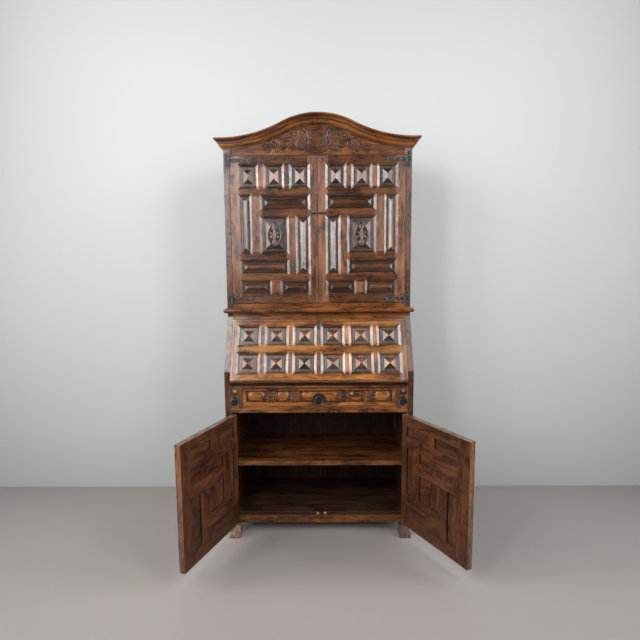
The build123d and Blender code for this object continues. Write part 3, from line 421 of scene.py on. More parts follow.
iron = metalMaterial(
    "forgedIron", dark=(0.014, 0.013, 0.013), light=(0.060, 0.055, 0.053), rust=(0.045, 0.024, 0.015),
    bare=(0.34, 0.33, 0.32), metallic=0.5, rough=(0.36, 0.58), wear=1.0)
blackIron = metalMaterial(
    "blackIron", dark=(0.006, 0.005, 0.005), light=(0.028, 0.025, 0.024), rust=(0.022, 0.012, 0.008),
    bare=(0.22, 0.21, 0.20), metallic=0.3, rough=(0.38, 0.6), wear=0.7)
nailIron = metalMaterial(
    "nailIron", dark=(0.060, 0.056, 0.054), light=(0.180, 0.172, 0.165), rust=(0.070, 0.045, 0.030),
    bare=(0.50, 0.49, 0.48), metallic=0.7, rough=(0.22, 0.38), wear=1.0)
brass = metalMaterial(
    "brass", dark=(0.52, 0.34, 0.12), light=(0.80, 0.58, 0.26), rust=(0.36, 0.22, 0.08),
    bare=(0.9, 0.72, 0.40), metallic=1.0, rough=(0.22, 0.38), wear=0.6)


# panelled fronts
panelLook = {
    "splayDepth": 9, "panelDepth": 11, "fieldRise": 10.5, "margin": 12, "squareMargin": 3, "squareHalf": 30,
    "splayWidth": 13, "marginShare": 0.44, "step": 1.1, "footRise": 2.1, "wideRatio": 1.3, "squareRatio": 0.8,
    "ridge": 0.75, "endShade": (1.9, 0, 1.1, 0), "lightest": 0.8, "rimTone": 0.45}


def isSquarish(opening):
    return opening[3] - opening[2] > panelLook["squareRatio"] * (opening[1] - opening[0])


def ringAt(rect, inset, height, fractions):
    # rectangle drawn in by inset on every side, each side divided at the given fractions
    a0, a1, b0, b1 = rect[0] + inset, rect[1] - inset, rect[2] + inset, rect[3] - inset
    corners = np.array([(a0, b0), (a1, b0), (a1, b1), (a0, b1)], float)
    points = []
    for side in range(4):
        start, end = corners[side], corners[(side + 1) % 4]
        for f in fractions[side]:
            points.append((*(start + (end - start) * f), height))
    return points


def latticeSheet(outline, openings, members, profiles, seed, holeInset, grooves=(), cut=()):
    # flat cells between the openings, and in each opening a profile carried round its rectangle
    # a runs across, b up, and height out of the face
    # a profile row is (inset, height, grime and painted shade, whether it belongs to the panel)
    rng = np.random.default_rng(seed)
    holes = [(a0 - holeInset, a1 + holeInset, b0 - holeInset, b1 + holeInset) for a0, a1, b0, b1 in openings]
    holes += list(grooves)
    openings, profiles = list(openings) + list(grooves), list(profiles) + [cut] * len(grooves)

    def gridLines(low, high):                # all levels where a hole, a member or the outline has an edge
        rects = holes + [m[0] for m in members]
        return sorted({round(v, 4) for r in rects for v in r[low:high]} | set(outline[low:high]))

    aLines, bLines = gridLines(0, 2), gridLines(2, 4)
    memberTone = rng.uniform(0, 1, len(members))
    points, faces, along, tone, grimeAndShade = [], [], [], [], []
    index = {}
    slack = 0.01                             # for rounding, when places are compared

    def corner(a, b):
        key = (round(a, 4), round(b, 4))
        if key not in index:
            index[key] = len(points)
            points.append((a, b, 0.0))
            grimeAndShade.append(0.0)
        return index[key]

    def memberAt(a, b):
        for (rect, direction), value in zip(members, memberTone):
            if rect[0] - slack <= a <= rect[1] + slack and rect[2] - slack <= b <= rect[3] + slack:
                return direction, value
        return 1, 0.5

    def addFace(face, direction, value):
        faces.append(face)
        along.append(direction)
        tone.append(value)

    for a0, a1 in zip(aLines, aLines[1:]):
        for b0, b1 in zip(bLines, bLines[1:]):
            a, b = (a0 + a1) / 2, (b0 + b1) / 2
            if not any(h[0] < a < h[1] and h[2] < b < h[3] for h in holes):
                addFace([corner(a0, b0), corner(a1, b0), corner(a1, b1), corner(a0, b1)], *memberAt(a, b))
    for hole, opening, profile in zip(holes, openings, profiles):
        crossings = [[0.0] + [(v - low) / (high - low) for v in lines if low + slack < v < high - slack]
                     for lines, low, high in ((aLines, hole[0], hole[1]), (bLines, hole[2], hole[3]))]
        fractions = crossings + [[0.0] + [1 - f for f in reversed(c[1:])] for c in crossings]
        sideOf = [s for s in range(4) for _ in fractions[s]]
        last = [corner(p[0], p[1]) for p in ringAt(hole, 0, 0, fractions)]
        isWide = opening[1] - opening[0] > panelLook["wideRatio"] * (opening[3] - opening[2])
        panelAlong = 0 if isWide else 1
        panelTone = rng.uniform(0, panelLook["lightest"])
        # painted shade: the bottom and top facets of a square field are drawn darker
        endShade = panelLook["endShade"] if isSquarish(opening) else (0, 0, 0, 0)
        count = len(last)
        outside = []
        for i in range(count):
            p, q = points[last[i]], points[last[(i + 1) % count]]
            da, db = ((0, -1), (1, 0), (0, 1), (-1, 0))[sideOf[i]]
            outside.append(memberAt((p[0] + q[0]) / 2 + 0.5 * da, (p[1] + q[1]) / 2 + 0.5 * db))
        for inset, depth, dirtAndShade, isPanel in profile:
            new = list(range(len(points), len(points) + count))
            points.extend(ringAt(opening, inset, depth, fractions))
            grimeAndShade.extend([dirtAndShade] * count)
            for i in range(count):
                j = (i + 1) % count
                member = (panelAlong, panelTone - endShade[sideOf[i]]) if isPanel else outside[i]
                addFace([last[i], last[j], new[j], new[i]], *member)
            last = new
        addFace(last, panelAlong, panelTone)
    rim = {"low": [corner(a, outline[2]) for a in aLines], "high": [corner(a, outline[3]) for a in aLines],
           "left": [corner(outline[0], b) for b in bLines], "right": [corner(outline[1], b) for b in bLines]}
    return dict(points=np.array(points), faces=faces, along=along, tone=tone, grimeAndShade=grimeAndShade, rim=rim)


def openingProfile(opening, look):
    # splay, shadow gap, margin in two steps and hipped field; the third column darkens the valleys and
    # margins and leaves the ridge clean, as dirt and painted shade
    half = min(opening[1] - opening[0], opening[3] - opening[2]) / 2
    extra = look["squareMargin"] if isSquarish(opening) and half > look["squareHalf"] else 0
    margin = min(look["margin"] + extra, look["marginShare"] * half)
    splay, floor, step = look["splayDepth"], -look["panelDepth"], look["step"]
    top, foot = floor + look["fieldRise"], floor + look["footRise"]
    rim = 1.0 - look["splayWidth"]
    return [(rim, -0.5, 0.0, False), (-1.0, 0.7 - splay, 0.55, False), (0.0, -splay, 0.9, False),
            (0.8, floor - 1.2, 1.0, False), (2.0, floor - 0.2, 1.0, True), (4.0, floor, 0.7, True),
            (0.5 * margin, floor, 0.6, True), (0.5 * margin + step, floor + step, 0.2, True),
            (margin - step, floor + step, 1.0, True), (margin, foot, 0.7, True),
            (margin + 2.5, foot + (top - foot) * 2.5 / (half - margin), 0.5, True),
            (half - look["ridge"], top, 0.0, True)]


def joinSheets(front, back, rimAlong):
    # front and back sheets joined by one many-sided face along each edge
    points = np.vstack([front["points"], back["points"]])
    shift = len(front["points"])
    faces = front["faces"] + [[i + shift for i in f[::-1]] for f in back["faces"]]
    along, tone = front["along"] + back["along"], front["tone"] + back["tone"]
    for name, forward in (("low", False), ("high", True), ("left", True), ("right", False)):
        loop = front["rim"][name] + [i + shift for i in back["rim"][name]][::-1]
        faces.append(loop if forward else loop[::-1])
        along.append(rimAlong)
        tone.append(panelLook["rimTone"])
    return points, faces, along, tone, front["grimeAndShade"] + back["grimeAndShade"]


def closedBoard(name, front, back, thickness, place, woods, body, rimAlong):
    # a sheet is (across, up, out); laid flat it is (across, -out, up), and place carries it into the case
    def laidFlat(sheet, depth, sign):
        p = sheet["points"]
        return {**sheet, "points": np.column_stack([p[:, 0], depth - sign * p[:, 2], p[:, 1]])}

    flatFront, flatBack = laidFlat(front, 0.0, 1), laidFlat(back, thickness, -1)
    points, faces, along, tone, grimeAndShade = joinSheets(flatFront, flatBack, rimAlong)
    piece = addPiece(name, place(points), faces, woods[0], body, {"grimeAndShade": grimeAndShade}, {"tone": tone},
                     laid=points)
    for wood in woods[1:]:
        piece.data.materials.append(wood)
    choice = np.array(along)
    if len(woods) > 2:
        choice[len(front["faces"]):len(front["faces"]) + len(back["faces"])] += 2
    piece.data.polygons.foreach_set("material_index", choice)
    bevelled(piece)
    return piece


def fromHinge(cells, hingeX, side, low):
    # (from hinge edge, to, from bottom, to) into x and z; side is -1 for the left door
    out = []
    for u0, u1, w0, w1 in cells:
        a = sorted((hingeX - side * u0, hingeX - side * u1))
        out.append((a[0], a[1], low + w0, low + w1))
    return out


# doors: a lattice of rails and short stiles; cells are the panels, and members the boards with their grain
upperDoor = {
    "hingeX": 421, "width": 420, "low": 1146, "height": 702, "front": 117, "thickness": 24, "backSlot": 8,
    "cells": [
        (48, 123.33, 559, 654), (172.33, 247.67, 559, 654), (296.67, 372, 559, 654), (48, 88, 248.5, 512),
        (152, 372, 457, 512), (152, 268, 248.5, 410), (324.5, 372, 148.5, 410), (48, 268, 148.5, 201.5),
        (48, 181, 50.5, 101.5), (247, 372, 50.5, 101.5)],
    "members": [
        ((0, 48, 0, 702), 1), ((372, 420, 0, 702), 1), ((48, 372, 654, 702), 0), ((48, 372, 0, 50.5), 0),
        ((123.33, 172.33, 559, 654), 1), ((247.67, 296.67, 559, 654), 1), ((48, 372, 512, 559), 0),
        ((88, 152, 248.5, 512), 1), ((152, 372, 410, 457), 0), ((268, 324.5, 148.5, 410), 1),
        ((48, 268, 201.5, 248.5), 0), ((48, 372, 101.5, 148.5), 0), ((181, 247, 50.5, 101.5), 1)]}
lowerDoor = {
    "hingeX": 421, "width": 420, "low": 82, "height": 542, "front": 0, "thickness": 27, "backSlot": 8,
    "axis": (422, -5.3),
    "cells": [
        (36, 173.5, 448, 496), (218.5, 356, 448, 496), (36, 78, 163, 392), (123, 356, 342, 392),
        (123, 255, 163, 286), (300, 356, 58, 286), (36, 255, 58, 107)],
    "members": [
        ((0, 36, 0, 542), 1), ((356, 420, 0, 542), 1), ((36, 356, 496, 542), 0), ((36, 356, 0, 58), 0),
        ((173.5, 218.5, 448, 496), 1), ((36, 356, 392, 448), 0), ((78, 123, 163, 392), 1),
        ((123, 356, 286, 342), 0), ((255, 300, 58, 286), 1), ((36, 255, 107, 163), 0)]}


def panelledDoor(name, look, side, body, openAngle=0):
    def placed(cells):
        return fromHinge(cells, side * look["hingeX"], side, look["low"])

    def place(p):
        p = p + np.array([0.0, look["front"], 0.0])
        return turnedAbout(p, side * look["axis"][0], look["axis"][1], side * openAngle) if openAngle else p

    outline = placed([(0, look["width"], 0, look["height"])])[0]
    openings = placed(look["cells"])
    members = [(placed([rect])[0], direction) for rect, direction in look["members"]]
    profiles = [openingProfile(o, panelLook) for o in openings]
    seed = len(name) + 7 * side
    front = latticeSheet(outline, openings, members, profiles, seed, panelLook["splayWidth"])
    # behind, each panel lies flush but for a dark slot on its hinge side
    slot = look["backSlot"]
    slots = placed([(u0, u0 + slot, w0, w1) for u0, u1, w0, w1 in look["cells"]])
    panelBacks = placed([(u0 + slot, u1, w0, w1) for u0, u1, w0, w1 in look["cells"]])
    # the slot and the panels' edges are drawn dark, as dirt and painted shade
    slotProfile = [(0.5, -9.0, 1.0, False), (2.0, -9.2, 1.0, False)]
    panelProfile = [(0.8, -1.0, 0.9, True), (2.4, -1.1, 0.3, True), (6.0, -0.9, 0.0, True)]
    profiles = [slotProfile] * len(slots) + [panelProfile] * len(slots)
    back = latticeSheet(outline, slots + panelBacks, members, profiles, seed + 40, 0)
    piece = closedBoard(name, front, back, look["thickness"], place, doorWood + doorBackWood, body, 1)
    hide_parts(body + "_frame", body + "_panels")
    return openings


upperLeftCells = panelledDoor("upperLeftDoor", upperDoor, -1, "upper_left_door")
upperRightCells = panelledDoor("upperRightDoor", upperDoor, 1, "upper_right_door")
panelledDoor("lowerLeftDoor", lowerDoor, -1, "lower_left_door", 111)
panelledDoor("lowerRightDoor", lowerDoor, 1, "lower_right_door", 120)
print("doors done")


def throughPoints(points, steps=9):
    # smooth curve through its points: each span is a cubic whose end slopes follow the neighbours
    p = np.asarray(points, float)
    p = np.vstack([2 * p[0] - p[1], p, 2 * p[-1] - p[-2]])
    t = np.linspace(0, 1, steps, endpoint=False)[:, None]
    spans = [0.5 * (2 * p1 + (p2 - p0) * t + (2 * p0 - 5 * p1 + 4 * p2 - p3) * t ** 2
                    + (3 * p1 - p0 - 3 * p2 + p3) * t ** 3)
             for p0, p1, p2, p3 in zip(p, p[1:], p[2:], p[3:])]
    return np.vstack([*spans, p[-2:-1]])


def curl(x, z, outer, inner, start, turns, hand=1):
    # spiral from its outer end in to its eye
    t = np.linspace(0, 1, max(6, int(9 * turns)))
    r = outer + (inner - outer) * t ** 0.8
    angle = radians(start) + hand * 2 * pi * turns * t
    return np.column_stack([x + r * np.cos(angle), z + r * np.sin(angle)])


carving = {
    "reach": 9, "farOff": 99.0, "steps": 7, "tail": 0.35, "start": 0.08, "swell": 0.7, "grooveShare": 0.22}


def carved(a, b, strokes):
    # every stroke is a rounded ridge that swells in its middle; a cut leaf has a groove down its crest
    height = np.zeros(a.shape)
    edge = np.full(a.shape, carving["farOff"])
    for stroke in strokes:
        line = throughPoints(stroke["points"], carving["steps"])
        low, high = line.min(0) - carving["reach"], line.max(0) + carving["reach"]
        near = (a > low[0]) & (a < high[0]) & (b > low[1]) & (b < high[1])
        x, z = a[near], b[near]
        best, reach = np.full(x.shape, 1e9), np.zeros(x.shape)
        spans = len(line) - 1
        for i in range(spans):
            start, step = line[i], line[i + 1] - line[i]
            along = ((x - start[0]) * step[0] + (z - start[1]) * step[1]) / (step @ step + 1e-9)
            along = np.clip(along, 0, 1)
            gap = np.hypot(x - start[0] - along * step[0], z - start[1] - along * step[1])
            closer = gap < best
            best[closer] = gap[closer]
            reach[closer] = (i + along[closer]) / spans
        tail = stroke.get("tail", carving["tail"])
        reach = carving["start"] + (1 - carving["start"]) * reach
        swell = np.sin(pi * np.clip(reach, 0, 1)) ** carving["swell"]
        width = stroke["width"] * (tail + (1 - tail) * swell)
        ridge = stroke["rise"] * np.sqrt(np.clip(1 - (best / width) ** 2, 0, 1))
        groove = np.exp(-(best / (carving["grooveShare"] * width)) ** 2) * (best < width)
        ridge -= stroke.get("groove", 0) * groove
        height[near] = np.maximum(height[near], ridge)
        edge[near] = np.minimum(edge[near], best - width)
    return height, edge


medallionGrid = {"rows": 34, "columns": 132, "roundOver": 12, "borderAt": 0.90, "borderWidth": 0.05}


def medallion(name, centre, look, body, place):
    # polar grid whose rim is |x/a|^p + |z/b|^p = 1, raised from the panel and cut with the given strokes
    rows, columns = medallionGrid["rows"], medallionGrid["columns"]
    r = np.linspace(0, 1, rows)[:, None]
    angle = np.linspace(0, 2 * pi, columns, endpoint=False)[None, :]
    power = look["power"]
    rim = (np.abs(np.cos(angle)) ** power + np.abs(np.sin(angle)) ** power) ** (-1 / power)
    a = look["width"] / 2 * r * rim * np.cos(angle)
    b = np.clip(look["height"] / 2 * r * rim * np.sin(angle), -look["clip"], look["clip"])
    cut, edge = carved(a, b, look["strokes"])
    for x, z, radius, depth in look["holes"]:
        cut -= depth * np.exp(-(((a - x) ** 2 + (b - z) ** 2) / radius ** 2) ** 2)
    t = r * np.ones_like(angle)
    border = np.exp(-((t - medallionGrid["borderAt"]) / medallionGrid["borderWidth"]) ** 2)
    plate = np.sqrt(np.clip(1 - t ** medallionGrid["roundOver"], 0, 1))
    height = look["plate"] * plate + look["border"] * border + cut
    height[-1] = -look["skirt"]
    out = height + look["base"]
    points = np.column_stack([(a + centre[0]).ravel(), (b + centre[1]).ravel(), out.ravel()])
    # dirt and painted shade: the carving is drawn darker away from its ridges
    dark = np.clip(1 - np.clip(cut, 0, None) / look["deep"], 0, 1) * look["shade"]
    faces = gridFaces(rows, columns, closedAcross=True)
    addPiece(name, place(points), faces, look["wood"], body, {"grimeAndShade": dark.ravel()}, smooth=True)


petal = [{"points": [(5 * cos(t), 5 * sin(t)), (14 * cos(t), 15 * sin(t)), (21 * cos(t), 24 * sin(t))],
          "width": 5.6, "rise": 3.4, "groove": 1.4, "tail": 0.5} for t in np.radians(np.arange(30, 390, 60))]
leafTips = [{"points": [(s * 2, h * 26), (s * 7, h * 36), (0, h * 50)],
             "width": 4.2, "rise": 2.8, "groove": 1.1} for h in (-1, 1) for s in (-1, 1)]
ribs = [{"points": [(0, h * 28), (0, h * 48)], "width": 3, "rise": 2.2} for h in (1, -1)]
berries = [(s * 11 * sin(t), 11 * cos(t), 2.2, 2.4) for t in (0.0, 1.05, 2.09) for s in (1, -1)]
doorMedallion = {
    "width": 72, "height": 122, "power": 1.6, "clip": 99, "plate": 1.6, "border": 1.2, "base": -2.4,
    "skirt": 7, "deep": 1.8, "shade": 0.85, "strokes": petal + leafTips + ribs,
    "holes": berries + [(0, 0, 3.4, -3.0)], "cell": 5, "wood": medallionWood}


def onFront(p, front=0):
    # (across, up, out) into the case, out from a face whose depth is front
    return np.column_stack([p[:, 0], front - p[:, 2], p[:, 1]])


for name, cells in (("left", upperLeftCells), ("right", upperRightCells)):
    a0, a1, b0, b1 = cells[doorMedallion["cell"]]
    middle = ((a0 + a1) / 2, (b0 + b1) / 2)
    medallion(name + "Medallion", middle, doorMedallion, "upper_" + name + "_door",
              lambda p: onFront(p, upperDoor["front"]))


# nail heads on the straps of the upper doors and on the leaves beside them
nails = {
    "radius": 3.4, "height": 2.0, "plateFront": 114.2, "strapX": (335, 365, 398), "leafX": 437,
    "leafAway": 17, "levels": (1165.3, 1828.0), "sides": 14, "rings": (pi / 2, pi / 2.9, pi / 5, 0.12),
    "sunk": 0.4}


def nailHeads(name, centres, body):
    # domes: at polar angle t from the front the ring has radius R sin t and stands out by H cos t
    around = np.linspace(0, 2 * pi, nails["sides"], endpoint=False)
    t = np.array(nails["rings"])[:, None]
    ring = nails["radius"] * np.sin(t)
    out = nails["height"] * np.cos(t) * np.ones_like(around)
    out[0] = -nails["sunk"]
    points, faces = [], []
    for i, (x, z) in enumerate(centres):
        dome = (x + ring * np.cos(around), nails["plateFront"] - out, z + ring * np.sin(around))
        points.append(np.column_stack([part.ravel() for part in dome]))
        faces += cappedFaces(len(t), nails["sides"], i * out.size)
    addPiece(name, np.vstack(points), faces, nailIron, body, smooth=True)


for side, name in ((-1, "left"), (1, "right")):
    onStraps = [(side * x, z) for z in nails["levels"] for x in nails["strapX"]]
    onLeaves = [(side * nails["leafX"], z + s * nails["leafAway"]) for z in nails["levels"] for s in (-1, 1)]
    nailHeads(name + "StrapNails", onStraps, "upper_" + name + "_door")
    nailHeads(name + "LeafNails", onLeaves, "case")


# writing flap
flap = {
    "axisY": -3, "axisZ": 770, "slope": (117, 257), "thickness": 24, "low": 1.5, "high": 313,
    "halfWidth": 421, "stile": 35, "bar": 44.4, "bottomRail": 49, "topRail": 38, "rowBar": 50, "margin": 16,
    "groove": (9, 3), "grooveFoot": 20, "nose": 11, "leafSpread": 320, "leafHalf": 25, "leafRows": (3, 25)}
slope = atan2(*flap["slope"])
upSlope = np.array([0, sin(slope), cos(slope)])
outOfSlope = np.array([0, -cos(slope), sin(slope)])


def onFlap(p):
    # p is laid flat with its back at y = thickness; the flap's back runs up the slope from the hinge axis
    start = np.array([0.0, flap["axisY"], flap["axisZ"]])
    across = p[:, :1] * np.array([1.0, 0, 0])
    return start + across + p[:, 2:3] * upSlope + (flap["thickness"] - p[:, 1:2]) * outOfSlope


def writingFlap():
    half, low, high, stile, bar = (flap[key] for key in ("halfWidth", "low", "high", "stile", "bar"))
    cellWidth = (2 * half - 2 * stile - 5 * bar) / 6
    cellHeight = (high - flap["bottomRail"] - flap["topRail"] - flap["rowBar"]) / 2
    railTop = high - flap["topRail"]
    rows = [(flap["bottomRail"], flap["bottomRail"] + cellHeight), (railTop - cellHeight, railTop)]
    lefts = [-half + stile + i * (cellWidth + bar) for i in range(6)]
    openings = [(a, a + cellWidth, b0, b1) for b0, b1 in rows for a in lefts]
    members = [((-half, lefts[0], low, high), 1), ((lefts[5] + cellWidth, half, low, high), 1)]
    r = flap["nose"]                         # the bottom rail is cut in strips, which are then rounded over
    steps = [low + r * (1 - cos(t)) for t in np.linspace(0, pi / 2, 7)[1:]]
    rails = [*zip([low] + steps, steps + [flap["bottomRail"]]), (railTop, high), (rows[0][1], rows[1][0])]
    members += [((-half + stile, half - stile, b0, b1), 0) for b0, b1 in rails]
    members += [((a - bar, a, b0, b1), 1) for b0, b1 in rows for a in lefts[1:]]
    look = {**panelLook, "margin": flap["margin"]}
    g, w = flap["groove"]                    # distance from the edge and width of the bead's groove
    foot = low + flap["grooveFoot"]
    grooves = [(-half + g, -half + g + w, foot, high - g), (half - g - w, half - g, foot, high - g),
               (-half + g + w, half - g - w, high - g - w, high - g)]
    outline, profiles = (-half, half, low, high), [openingProfile(o, look) for o in openings]
    # the bead's grooves are drawn dark, as dirt and painted shade
    front = latticeSheet(outline, openings, members, profiles, 31, panelLook["splayWidth"], grooves,
                         [(1.0, -1.1, 1.0, False)])
    b, h = front["points"][:, 1], front["points"][:, 2]
    near = (b < low + r - 0.001) & (h > -0.5)
    h[near] = -(r - np.sqrt(np.clip(r * r - (r - (b[near] - low)) ** 2, 0, None)))
    spread, wide = flap["leafSpread"], flap["leafHalf"]
    leaves = [(x - wide, x + wide, *flap["leafRows"]) for x in (-spread, spread)]
    # the pockets behind are drawn dark the same way
    pocket = [(0.0, -2.3, 1.0, False), (1.2, -2.4, 1.0, False)]
    back = latticeSheet(outline, leaves, [(outline, 0)], [pocket, pocket], 77, 0)
    piece = closedBoard("writingFlap", front, back, flap["thickness"], onFlap, deskWood, "writing_flap", 0)
    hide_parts("flap_frame", "flap_panels")


writingFlap()
print("flap done")


# drawer and lopers
recess = {"gap": 1.1, "gapDepth": 0.3, "foot": 1.0, "footRise": 1.6}


def recessProfile(opening, look):
    # splay and shadow line, then a flat floor, or a field that rises to its middle; the recess is drawn
    # darker toward its floor, as dirt and painted shade
    half = min(opening[1] - opening[0], opening[3] - opening[2]) / 2
    splay, depth, foot = look["splay"], look["depth"], look["splay"] + look["margin"]
    rows = [(splay, -depth, 0.8, False), (splay + recess["gap"], -depth - recess["gapDepth"], 1.0, True),
            (foot, -depth, 0.8, True)]
    inner, ridge = foot + recess["foot"], half - panelLook["ridge"]
    if not look["rise"]:
        return rows + [(inner, -depth, 0.4, True), (ridge, -depth, 0.4, True)]
    return rows + [(inner, recess["footRise"] - depth, 0.3, True), (ridge, look["rise"] - depth, 0.0, True)]


def plainBoard(name, look, outline, opening, along, body, nodes, seed):
    front = latticeSheet(outline, [opening], [(outline, along)], [recessProfile(opening, look)], seed, 0)
    back = latticeSheet(outline, [], [(outline, along)], [], seed + 3, 0)
    piece = closedBoard(name, front, back, look["thickness"], lambda p: p, drawerWood, body, 0)
    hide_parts(*nodes)


drawer = {
    "outline": (-364.5, 364.5, 660.5, 743.9), "opening": (-350.5, 350.5, 674.5, 734.9), "thickness": 20,
    "splay": 4, "depth": 9, "margin": 3, "rise": 0, "discs": (-230, -114, 118, 236), "discZ": 704.7,
    "discRoom": 27, "end": 342, "clip": 16, "slant": 8, "blockGap": 1, "blockSunk": 0.4, "blockEdge": 0.6,
    "blockTop": -2.5, "blockTone": (0.25, 0.15), "blockGrime": (0.8, 0.6, 0.0)}
plainBoard("drawerFront", drawer, drawer["outline"], drawer["opening"], 0, "drawer", ["drawer_front"], 11)


def drawerBlocks(look):
    # raised blocks with clipped corners and bevelled edges fill the field between the discs
    low = look["opening"][2] + look["splay"] + look["blockGap"]
    high = look["opening"][3] - look["splay"] - look["blockGap"]
    tone, toneStep = look["blockTone"]
    starts = [-look["end"]] + [x + look["discRoom"] for x in look["discs"]]
    ends = [x - look["discRoom"] for x in look["discs"]] + [look["end"]]
    for i, (a0, a1) in enumerate(zip(starts, ends)):
        rings = []
        sections = ((0, -look["depth"] - look["blockSunk"]), (0, look["blockEdge"] - look["depth"]),
                    (look["slant"], look["blockTop"]))
        for inset, height in sections:
            left, right, down, top = a0 + inset, a1 - inset, low + inset, high - inset
            c = look["clip"] - 0.41 * inset  # the clipped corner keeps the same width of bevel
            outline = [(left + c, down), (right - c, down), (right, down + c), (right, top - c),
                       (right - c, top), (left + c, top), (left, top - c), (left, down + c)]
            rings += [(x, -height, z) for x, z in outline]
        faces, points = cappedFaces(3, 8), np.array(rings, float)
        tones = [tone + toneStep * (i % 3)] * len(faces)
        # dirt and painted shade at the foot of each block
        grimeAndShade = np.repeat(look["blockGrime"], 8)
        block = addPiece("drawerBlock%d" % (i + 1), points, faces, drawerWood[0], "drawer", {"grimeAndShade": grimeAndShade},
                         {"tone": tones}, laid=points)
        bevelled(block)


drawerBlocks(drawer)
fan = [{"points": [(r * cos(t), r * sin(t)) for r in (13, 21, 29)],
        "width": 5, "rise": 2.4, "groove": 1.0, "tail": 0.55} for t in np.radians(np.arange(20, 380, 36))]
drawerDisc = {
    "width": 63, "height": 63, "power": 2.0, "clip": 25.5, "plate": 1.2, "border": 0.5, "base": -4.4,
    "skirt": 5.0, "deep": 2.2, "shade": 0.45, "holes": [(0, 0, 9.0, 0.6)], "wood": discWood,
    "strokes": fan + [{"points": [(-11, 0), (0, 3), (11, 0)], "width": 6, "rise": 2.2, "tail": 0.6}]}
for i, x in enumerate(drawer["discs"]):
    medallion("drawerDisc%d" % (i + 1), (x, drawer["discZ"]), drawerDisc, "drawer", onFront)


loper = {
    "x": 401.5, "outline": (-20.5, 20.5, 647.5, 745.4), "pyramid": (-17.5, 17.5, 709, 742), "thickness": 360,
    "splay": 2, "depth": 7, "margin": 1, "rise": 7, "roseZ": 679, "roseRadius": 19.5, "roseThick": 1.5,
    "roseSunk": 0.2, "roseEdge": 0.6, "roseBevel": 2, "roseHub": 5, "roseSides": 40}


def loperFront(side, name):
    x, sides, thick, radius = side * loper["x"], loper["roseSides"], loper["roseThick"], loper["roseRadius"]
    sections = ((radius, loper["roseSunk"]), (radius, loper["roseEdge"] - thick),
                (radius - loper["roseBevel"], -thick), (loper["roseHub"], -thick))
    outline, opening = ((x + a0, x + a1, b0, b1) for a0, a1, b0, b1 in (loper["outline"], loper["pyramid"]))
    plainBoard(name + "Loper", loper, outline, opening, 1, name + "_loper_body", [name + "_loper"], 21 + side)
    # round plate behind the ring: circles of radius r at depth y
    t = np.linspace(0, 2 * pi, sides, endpoint=False)
    rings = [np.column_stack([x + r * np.cos(t), np.full(sides, y), loper["roseZ"] + r * np.sin(t)])
             for r, y in sections]
    addPiece(name + "LoperRose", np.vstack(rings), cappedFaces(4, sides), blackIron, name + "_loper_body")


loperFront(-1, "left")
loperFront(1, "right")
print("drawer and lopers done")


# arched cornice
cornice = {
    "top": 1926, "rise": 110, "halfSpan": 457, "crest": 375, "height": 47, "out": 38, "halfWidth": 450,
    "front": 117, "back": 410, "stations": 121, "returnRings": 6, "mitreRoom": 20,
    "dirtAndShadeLines": ((0.52, 0.05, 0.9), (0.21, 0.03, 0.7)), "filletDirtAndShade": (0.93, 0.8)}
archAngle = 2 * atan2(cornice["rise"], cornice["halfSpan"])
footRadius = cornice["halfSpan"] / sin(archAngle) - cornice["crest"]


def archLine(x):
    # height of the cornice's top edge and its slope angle at x: foot arc, crest arc, foot arc
    x = np.asarray(x, float)
    ax = np.abs(x)
    joint = cornice["crest"] * sin(archAngle)
    z = np.full(x.shape, float(cornice["top"]))
    tilt = np.zeros(x.shape)
    onCrest = ax <= joint
    onFoot = (ax > joint) & (ax < cornice["halfSpan"])
    crestCentre = cornice["top"] + cornice["rise"] - cornice["crest"]
    z[onCrest] = crestCentre + np.sqrt(cornice["crest"] ** 2 - ax[onCrest] ** 2)
    tilt[onCrest] = -np.arcsin(x[onCrest] / cornice["crest"])
    reach = cornice["halfSpan"] - ax[onFoot]
    z[onFoot] = cornice["top"] + footRadius - np.sqrt(footRadius ** 2 - reach ** 2)
    tilt[onFoot] = -np.sign(x[onFoot]) * np.arcsin(reach / footRadius)
    return z, tilt


def mouldingProfile():
    # outline as (out, drop) in shares of the moulding's size: nosing, cove, step, ovolo, fillet, up the back
    t = np.linspace(0, 1, 9)
    nose = [(0.9 + 0.1 * sin(pi * v), 0.2 * v) for v in t]
    cove = [(0.88 - 0.36 * sin(pi / 2 * v), 0.22 + 0.28 * (1 - cos(pi / 2 * v))) for v in t]
    step = [(0.52, 0.52), (0.46, 0.52)]
    ovolo = [(0.13 + 0.33 * cos(pi / 2 * v), 0.54 + 0.34 * sin(pi / 2 * v)) for v in t]
    fillet = [(0.13, 0.90), (0.08, 0.90), (0.08, 1)]
    shares = np.array([(0, 0), *nose, *cove, *step, *ovolo, *fillet, (0, 1)])
    return shares * (cornice["out"], cornice["height"])


